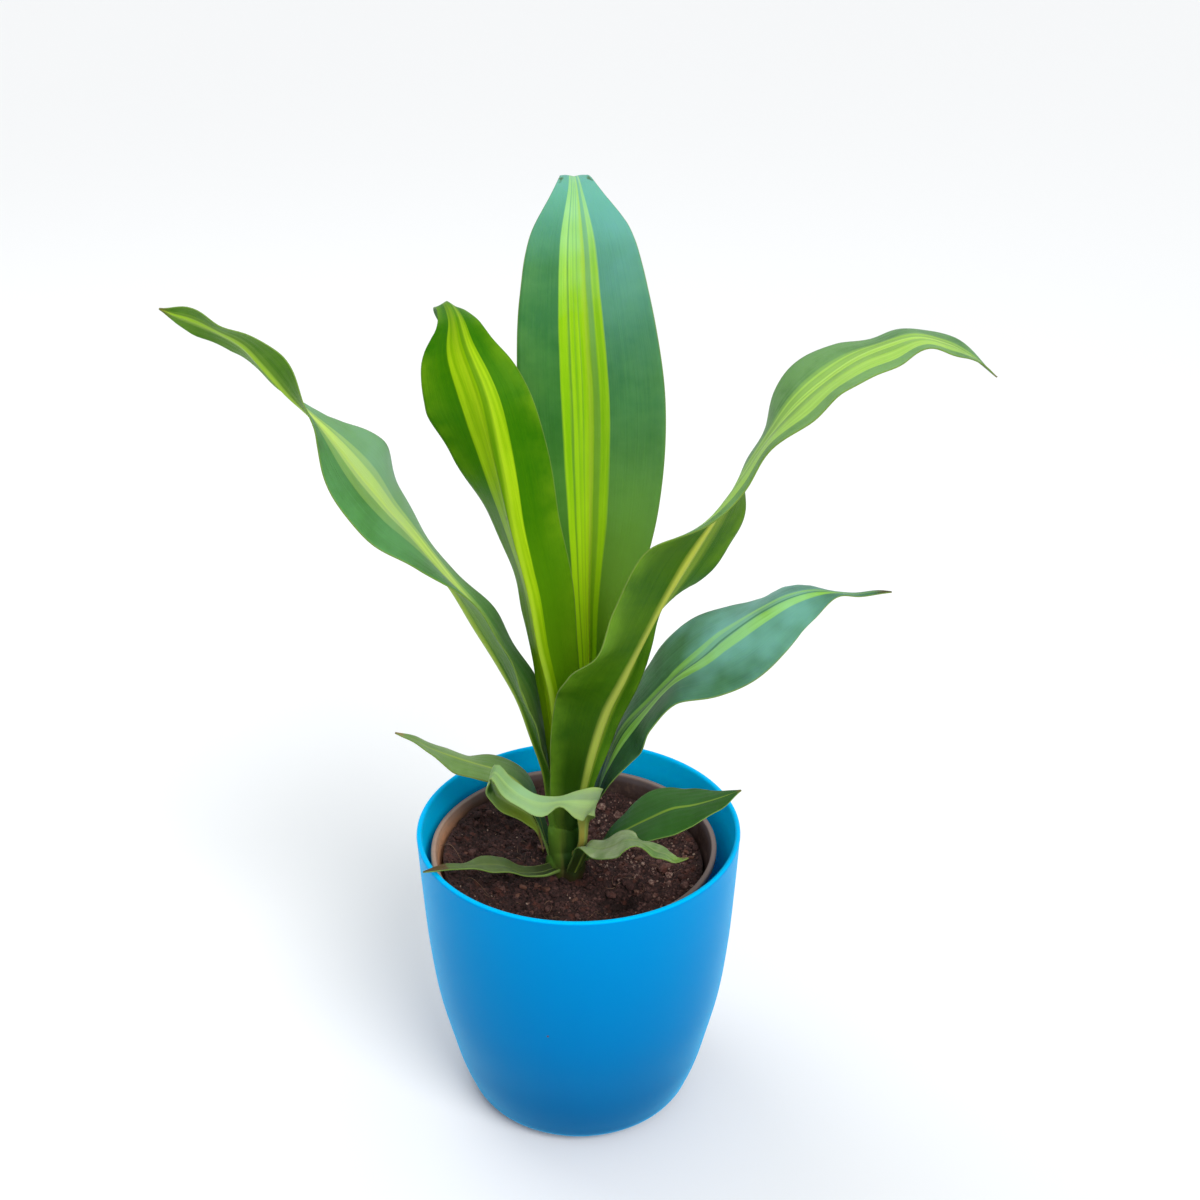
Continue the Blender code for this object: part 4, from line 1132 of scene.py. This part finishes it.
leaves["leaf_left_long"] = dict(
    piece="leftLongBlade", root=(124, 186, 4.0, 0.8), bend=15, heading=((0, 182), (1, 182)),
    stations=(
        (-12, 1, 139, 6, 10, 7, 10),
        (-13, 0, 149, 7, 20, 8, 22),
        (-18, -1, 168, 8, 25, 10, 35),
        (-23, -2, 185, 11, 23, 13, 35),
        (-30, -2, 200, 14, 30, 16, 20),
        (-39, -2, 217, 18, 32, 19, 15),
        (-47, -1, 232, 20, 22, 21, -5),
        (-57, 1, 246, 22, 3, 22, -5),
        (-68, 2, 261, 23, -13, 23, 3),
        (-79, 1, 277, 21, -20, 21, 26),
        (-88, 0, 291, 16, -11, 16, 8),
        (-96, 0, 301, 11, 18, 11, -10),
        (-102, 0, 307, 12, 42, 12, -19),
        (-110, 0, 317, 12, 58, 12, -24),
        (-117, 0, 326, 11, 45, 11, -40),
        (-125, 0, 331, 9, 32, 9, -44),
        (-133, 0, 335, 7, 48, 7, -60),
        (-139, 0, 337, 4, 60, 4, -60),
        (-144, 0, 339, 0.8, 60, 0.8, -60),
    ),
    ripple=(0.5, 28, 0.4),
    stripes=((-1, 0.1), (-0.36, 0.5), (-0.22, 1), (0.05, 0.8), (0.17, 0.3), (0.38, 0)),
    upper=dict(
        green=((0.04, 0.16, 0.012), (0.078, 0.26, 0.055)), patchShare=1.1,
        low=((0.026, 0.085, 0.002), (0.026, 0.095, 0.002), 0.42),
        paintedSheen=((0.165, 0.35, 0.21), (0.42, 0.58, 0.2),
            ((0, 0), (0.45, 0.1), (0.56, 0.9), (0.76, 0.9), (0.85, 0.2), (1, 0)), (1, 0.25)),
        drift=((0, 0.4), (0.44, 0.4), (0.58, 0.5)),
        fade=((0, 0.1), (0.3, 0.15), (0.45, 0.9), (0.9, 1), (1, 0.4)), high=((0.3, 0.44, 0.08), 0.8),
        band=((0.41, 0.59, 0.08), (0.56, 0.75, 0.13)),
        rib=(0.03, ((0.5, 0.64, 0.14), (0.5, 0.66, 0.15), (0.4, 0.56, 0.09)), ((0, 0.6), (1, 0.6))),
    ),
    lower=dict(
        green=((0.04, 0.14, 0.004), (0.11, 0.25, 0.02)),
        low=((0.026, 0.085, 0.001), (0.026, 0.085, 0.001), 0.4),
        fade=((0, 0.1), (0.3, 0.15), (0.45, 0.9), (1, 1)), band=((0.2, 0.35, 0.03), (0.32, 0.5, 0.07)),
        stripeLevel=0.8,
        rib=(0.13, ((0.24, 0.34, 0.04), (0.34, 0.5, 0.05), (0.32, 0.54, 0.03)), ((0, 0.9), (1, 0.9))),
    ),
)

leaves["leaf_right_long"] = dict(
    piece="rightLongBlade", root=(126, 285, 3.0, 0.8), bend=15,
    heading=((0, 285), (0.3, 305), (0.55, 345), (0.75, 375), (1, 380)),
    stations=(
        (1, -11, 145, 4, 0, 12, 15),
        (3, -12, 155, 5, 5, 14, 22),
        (6, -14, 169, 8, 10, 17, 28),
        (11, -18, 188, 12, 15, 20, 32),
        (17, -24, 205, 18, 22, 22, 18),
        (23, -29, 222, 23, 30, 23, 2),
        (31, -35, 243, 23, 0, 23, 16),
        (40, -39, 263, 22, -22, 22, 33),
        (49, -40, 280, 20, -26, 20, 6),
        (57, -39, 293, 18, -10, 18, 1),
        (65, -37, 305, 18, -11, 18, 10),
        (74, -34, 316, 19, -1, 19, 2),
        (84, -31, 324, 18, 8, 18, 5),
        (93, -29, 330, 16, 0, 16, 0),
        (104, -26, 334, 14, -12, 14, -8),
        (114, -24, 336, 11, 1, 11, -3),
        (125, -21, 333, 9, 9, 9, -10),
        (134, -18, 328, 5, 25, 5, -8),
        (145, -14, 319, 0.8, 10, 0.8, 0),
    ),
    ripple=(0.5, 32, 2.0),
    stripes=((-1, 0.1), (-0.72, 0.8), (-0.36, 0.45), (-0.18, 1), (0.04, 0.45), (0.17, 0.75), (0.24, 0.3),
        (0.32, 0)),
    upper=dict(
        green=((0.05, 0.155, 0.026), (0.15, 0.31, 0.095)), patchShare=1.1,
        paintedSheen=((0.18, 0.34, 0.17), (0.34, 0.54, 0.24), ((0, 0.1), (0.6, 0.2), (0.78, 0.4), (1, 0.8)),
            (1, 1)),
        band=((0.31, 0.54, 0.07), (0.45, 0.7, 0.12)),
        rib=(0.02, ((0.42, 0.62, 0.14), (0.4, 0.64, 0.2)), ((0, 0.6), (1, 0.5))),
        tip=(0.975, (0.14, 0.09, 0.03)),
    ),
    lower=dict(
        green=((0.026, 0.096, 0.001), (0.06, 0.148, 0.002)),
        low=((0.016, 0.052, 0.002), (0.05, 0.14, 0.006), 0.28),
        stripes=((-1, 0), (0.12, 0.7), (0.36, 0.25), (0.45, 0)), edge=((0.17, 0.34, 0.02), 0.4),
        band=((0.15, 0.25, 0.01), (0.24, 0.34, 0.03)),
        rib=(0.11, ((0.27, 0.36, 0.05), (0.38, 0.43, 0.07), (0.5, 0.55, 0.05), (0.34, 0.46, 0.05)),
            ((0, 0.95), (0.7, 0.95), (1, 0.4))),
        ribAt=0.04,
    ),
)

leaves["leaf_right_broad"] = dict(
    piece="rightBroadBlade", root=(124, 5, 3.5, 0.8), bend=15, heading=((0, 0), (1, 0)),
    stations=(
        (7, 0, 139, 6, 3, 5, -5),
        (11, -1, 155, 10, 2, 11, -16),
        (18, -2, 173, 15, 0, 15, -30),
        (27, -3, 184, 19, 9, 19, -5),
        (38, -4, 197, 23, 10, 23, 3),
        (49, -5, 207, 25, 9, 25, -15),
        (59, -5, 216, 25, -5, 25, -25),
        (70, -4, 224, 21, -12, 21, -30),
        (80, -3, 229, 15, -9, 15, -30),
        (89, -2, 231, 10, -15, 10, -25),
        (98, -1, 230, 4, -20, 4, 10),
        (105, 0, 229, 3.5, -18, 3.5, 11),
        (111, 0, 230, 2.5, -20, 2.5, 0),
        (118, 0, 230, 0.8, 0, 0.8, 0),
    ),
    ripple=(0.5, 30, 1.1),
    stripes=((-1, 0), (-0.25, 1), (-0.03, 0.05), (0.04, 0.35), (0.1, 0.2), (0.12, 0.75), (0.24, 0)),
    upper=dict(
        green=((0.026, 0.095, 0.028), (0.07, 0.21, 0.08)), paintedSheenCloud=(1.6, -0.12),
        low=((0.013, 0.042, 0.004), (0.018, 0.075, 0.004), 0.38),
        paintedSheen=((0.18, 0.44, 0.38), (0.3, 0.62, 0.24),
            ((0, 0), (0.42, 0.15), (0.6, 0.95), (0.8, 0.7), (1, 0)), (0.9, 1)),
        band=((0.19, 0.42, 0.05), (0.3, 0.61, 0.13)), drift=((0, 0.425), (0.45, 0.425), (0.6, 0.5)),
        rib=(0.022, ((0.05, 0.14, 0.01), (0.07, 0.24, 0.06)), ((0, 0.7), (1, 0.6))),
        tip=(0.955, (0.07, 0.07, 0.02)),
    ),
    lower=plainLower,
)

leaves["leaf_low_left"] = dict(
    piece="lowLeftBlade", root=(109, 165, 4.0, 0.7), bend=15, clasp=0.5, heading=((0, 172), (1, 172)),
    stations=(
        (-17, 8, 127, 5.5, 0, 5.5, 0),
        (-23, 8, 139, 8, 5, 9, 5),
        (-31, 6, 147, 11, 8, 11, -8),
        (-41, 4, 152, 12, 8, 12, -22),
        (-49, 4, 155, 10, -3, 10, -22),
        (-59, 3, 160, 6, 18, 6, -18),
        (-65, 3, 164, 3, 15, 3, -8),
        (-72, 3, 167, 0.8, 0, 0.8, 0),
    ),
    ripple=(0.3, 22, 0.3), stripes=((-1, 0), (-0.07, 0.8), (0.07, 0)),
    upper=dict(
        green=((0.07, 0.16, 0.024), (0.16, 0.27, 0.075)), patchShare=1.1,
        low=((0.034, 0.1, 0.045), (0.034, 0.1, 0.045), 0.55),
        paintedSheen=((0.23, 0.35, 0.15), (0.26, 0.4, 0.13), ((0, 0), (0.5, 0.2), (1, 0.5)), (1, 1)),
        band=((0.2, 0.3, 0.045), (0.25, 0.37, 0.06)),
        rib=(0.03, ((0.3, 0.4, 0.06), (0.3, 0.4, 0.06)), ((0, 0.6), (1, 0.6))),
        margin=(0.14, 0.09, 0.035), marginLevel=0.7, tip=(0.95, (0.26, 0.21, 0.09)),
    ),
    lower=plainLower,
)

leaves["leaf_front_curled"] = dict(
    piece="frontCurledBlade", root=(114, 318, 2, 1), bend=5, clasp=0.5,
    heading=((0, 305), (0.1, 315), (0.2, 325), (0.27, 272), (0.34, 195), (0.45, 182), (1, 180)),
    stations=(
        (1.9, -11, 126.9, 2.4, 0, 2.2, 0),
        (2.3, -11.5, 134.4, 2.6, -20, 3, 15),
        (4.7, -14, 141.6, 3.2, -90, 5, 65),
        (7.4, -19.5, 148.9, 5.6, -112, 5.8, 98),
        (4.4, -24.5, 152.2, 7.4, -85, 6.2, 72),
        (-0.5, -26, 153.6, 6.2, -62, 4.2, 50),
        (-6.6, -26.5, 153.9, 2, -30, 2.6, 25),
        (-13.1, -26, 152.7, 5, -50, 3.2, 35),
        (-20, -25, 154.3, 4.2, -35, 3.6, 40),
        (-27.3, -22.5, 159, 4.8, -20, 4, 30),
        (-31.5, -20, 162.8, 4, -10, 3.8, 15),
        (-34.2, -17, 156.4, 4.6, 0, 4.6, 0),
        (-31.8, -15, 148.7, 4.8, 5, 4.8, 0),
        (-25.7, -14, 143.5, 5, 10, 5, 0),
        (-20, -13.5, 139.4, 4.8, 5, 4.2, 0),
        (-16.2, -13, 132.5, 2.6, 0, 2.4, 0),
        (-14.7, -13, 127.3, 1.2, 0, 1.2, 0),
        (-14, -13, 121.6, 0.5, 0, 0.5, 0),
    ),
    ripple=(0.8, 12, 0.5), stripes=((-1, 0), (-0.2, 0.4), (-0.05, 0.6), (0.1, 0.3), (0.3, 0)),
    upper=dict(
        green=((0.12, 0.25, 0.05), (0.3, 0.43, 0.15)), patchShare=1.4, soft=0.03, ragged=0.08,
        low=((0.18, 0.2, 0.105), (0.25, 0.31, 0.13), 0.7),
        paintedSheen=((0.29, 0.51, 0.27), (0.33, 0.52, 0.23),
            ((0, 0), (0.35, 0.4), (0.55, 0.9), (0.68, 0.4), (0.74, 0)), (1, 0.7)),
        edge=((0.32, 0.42, 0.07), 0.6), high=((0.11, 0.165, 0.014), 0.7),
        band=((0.26, 0.4, 0.1), (0.36, 0.54, 0.18)),
        rib=(0.03, ((0.3, 0.42, 0.14), (0.24, 0.3, 0.06)), ((0, 0.2), (1, 0.1))),
        tip=(0.92, (0.15, 0.1, 0.04)),
    ),
    lower=dict(
        green=((0.12, 0.24, 0.05), (0.2, 0.34, 0.1)), low=((0.34, 0.27, 0.045), (0.25, 0.26, 0.05), 0.28),
        # painted shade: the spot is a dark green patch where the blade folds under
        high=((0.19, 0.26, 0.02), 0.7), spots=((0.7, 0, 5.0, (0.02, 0.085, 0.003)),),
        band=((0.2, 0.31, 0.06), (0.28, 0.4, 0.1)),
        rib=(0.05, ((0.26, 0.34, 0.08), (0.24, 0.3, 0.06)), ((0, 0.6), (1, 0.5))),
        tip=(0.92, (0.15, 0.1, 0.04)),
    ),
)

leaves["leaf_low_right_curled"] = dict(
    piece="lowRightCurledBlade", root=(106, 300, 3.2, 0.7), bend=10, clasp=0.5,
    heading=((0, 300), (0.12, 305), (0.28, 328), (0.45, 339), (1, 342)),
    stations=(
        (-0.6, -8.5, 112.7, 3.6, 0, 3.6, 0),
        (1.5, -12.5, 121.3, 4, 0, 4.2, 10),
        (3.5, -17, 126.8, 3.6, 12, 4.8, 30),
        (9, -23, 130, 4.8, 14, 6, 0),
        (14, -28, 135, 8, 8, 7, -8),
        (19, -31, 140, 8, -26, 8, -13),
        (24, -33, 140, 6, -30, 6, 18),
        (30, -35, 137, 5, -5, 5, 12),
        (34, -37, 137, 4, -20, 4, 6),
        (37, -38, 135, 2.5, 5, 2.5, 15),
        (42, -39, 137, 0.8, 0, 0.8, 0),
    ),
    ripple=(0.4, 16, 0.0), stripes=((-1, 0), (-0.1, 0.5), (0.1, 0)),
    upper=dict(
        green=((0.13, 0.24, 0.065), (0.38, 0.45, 0.26)), patchShare=1.5,
        low=((0.016, 0.045, 0.006), (0.05, 0.095, 0.015), 0.36), high=((0.18, 0.36, 0.012), 0.87),
        band=((0.26, 0.33, 0.13), (0.33, 0.41, 0.19)),
        rib=(0.03, ((0.24, 0.32, 0.08), (0.24, 0.32, 0.08)), ((0, 0.5), (1, 0.3))),
        tip=(0.96, (0.2, 0.18, 0.07)),
    ),
    lower=dict(plainLower, low=((0.035, 0.045, 0.01), (0.06, 0.085, 0.012), 0.34)),
)

leaves["leaf_low_right_broad"] = dict(
    piece="lowRightBroadBlade", root=(109.5, 357, 2.5, 1.2), bend=10, clasp=0.5,
    heading=((0, -20), (0.25, 0), (1, 5)),
    stations=(
        (8, -6, 118, 5, -10, 4, 0),
        (13, -8, 125, 8, -3, 7, 5),
        (19, -10, 130, 12, 2, 11, 6),
        (28, -11, 136, 15, 3, 15, 4),
        (38, -11, 141, 15, -2, 15, -6),
        (44, -11, 142, 13, -4, 13, -2),
        (51, -11, 144, 10, -8, 10, 3),
        (58, -10, 146, 5, -8, 5, -5),
        (64, -9, 148, 0.8, 0, 0.8, 0),
    ),
    ripple=(0.3, 22, 0.9), stripes=((-1, 0), (-0.05, 0.7), (0.05, 0)),
    upper=dict(
        green=((0.024, 0.092, 0.008), (0.048, 0.15, 0.034)), veinShare=0.25, bump=0.3,
        band=((0.06, 0.14, 0.014), (0.085, 0.17, 0.022)),
        rib=(0.05, ((0.25, 0.4, 0.05), (0.22, 0.36, 0.04)), ((0, 0.9), (1, 0.8))),
        margin=(0.1, 0.17, 0.05), tip=(0.97, (0.15, 0.13, 0.04)),
    ),
    lower=plainLower,
)

leaves["leaf_small_left"] = dict(
    piece="smallLeftBlade", root=(107.5, 232, 2.5, 0.5), bend=5, clasp=0.5,
    heading=((0, 215), (0.3, 196), (1, 196)),
    stations=(
        (-16, -12, 111, 3.5, 5, 3.5, 5),
        (-22, -15, 113, 4.5, 16, 4.5, 4),
        (-29, -19, 119, 5.5, 13, 5.5, 0),
        (-36, -22, 122, 5, -4, 5, 4),
        (-43, -26, 124, 3, 15, 3, -18),
        (-50, -30, 126.5, 2, 0, 2, 0),
        (-59, -36, 128.4, 0.8, 0, 0.8, 0),
    ),
    ripple=(0.3, 18, 0.0), stripes=((-1, 0), (-0.08, 0.6), (0.08, 0)),
    upper=dict(
        green=((0.07, 0.11, 0.03), (0.13, 0.185, 0.07)),
        low=((0.02, 0.028, 0.01), (0.02, 0.028, 0.01), 0.34),
        band=((0.12, 0.17, 0.05), (0.18, 0.25, 0.07)),
        rib=(0.04, ((0.16, 0.22, 0.06), (0.12, 0.12, 0.04)), ((0, 0.5), (1, 0.4))),
        tip=(0.82, (0.1, 0.065, 0.03)),
    ),
    lower=plainLower,
)


# stage, light and camera

stage = dict(
    floorSize=6.0, floorColour=(0.90, 0.905, 0.91), floorLow=0.1, floorRoughness=0.7, floorShine=0.2,
    worldColour=(0.95, 0.975, 1.0), worldStrength=0.64,
    key=dict(kind="SUN", place=(0.51, -0.82, 0.99), aim=(0, 0, 0.12), size=0.55, power=2.1,
             colour=(1.0, 0.985, 0.96)),
    sky=dict(kind="AREA", place=(-0.45, 0.45, 1.2), aim=(0, 0, 0.20), size=0.8, power=4.0,
             colour=(0.92, 0.97, 1.0)),
    lens=50.0, sensor=36.0, eye=(0.0086, -0.5621, 0.5031), tilt=63.81,
)


def makeFloor():
    build = bmesh.new()
    bmesh.ops.create_grid(build, x_segments=8, y_segments=8, size=stage["floorSize"])
    bmesh.ops.translate(build, verts=build.verts, vec=(0, 0, -stage["floorLow"] * mm))
    mesh = bpy.data.meshes.new("paleFloor")
    build.to_mesh(mesh)
    build.free()
    material, tree, shader = newMaterial("paleFloor", Roughness=stage["floorRoughness"],
                                         Specular_IOR_Level=stage["floorShine"])
    shader.inputs["Base Color"].default_value = (*stage["floorColour"], 1)
    bumped(tree, shader, cloud(tree, objectPlace(tree), 3.0), 0.05, 1.0 * mm)
    mesh.materials.append(material)
    floor = bpy.data.objects.new("paleFloor", mesh)
    bpy.context.scene.collection.objects.link(floor)


def addLight(name, kind, size, power, colour, place, aim):
    # the size is in radians for a sun and in metres for an area light
    lamp = bpy.data.lights.new(name, kind)
    if kind == "SUN":
        lamp.angle = size
    else:
        lamp.shape = "DISK"
        lamp.size = size
    lamp.energy = power
    lamp.color = colour
    holder = bpy.data.objects.new(name, lamp)
    holder.location = place
    holder.rotation_euler = (Vector(aim) - Vector(place)).to_track_quat("-Z", "Y").to_euler()
    bpy.context.scene.collection.objects.link(holder)


def makeStage():
    makeFloor()
    for name in ("key", "sky"):
        addLight(name, **stage[name])
    world = bpy.data.worlds.new("softWorld")
    world.use_nodes = True
    background = world.node_tree.nodes["Background"]
    background.inputs["Color"].default_value = (*stage["worldColour"], 1)
    background.inputs["Strength"].default_value = stage["worldStrength"]
    bpy.context.scene.world = world
    lens = bpy.data.cameras.new("photoCamera")
    lens.lens = stage["lens"]
    lens.sensor_width = stage["sensor"]
    camera = bpy.data.objects.new("photoCamera", lens)
    camera.location = stage["eye"]
    camera.rotation_euler = (math.radians(stage["tilt"]), 0, 0)
    bpy.context.scene.collection.objects.link(camera)
    bpy.context.scene.camera = camera
    bpy.context.scene.view_settings.view_transform = "Standard"
    print("stage made")


makePlanter()
makeNurseryPot()
makeSoilMass()
makeCrumbs()
makeChips()
makePaleBits()
makeFibres()
makeStem()
for node, leaf in leaves.items():
    makeLeaf(node, leaf)
makeStage()
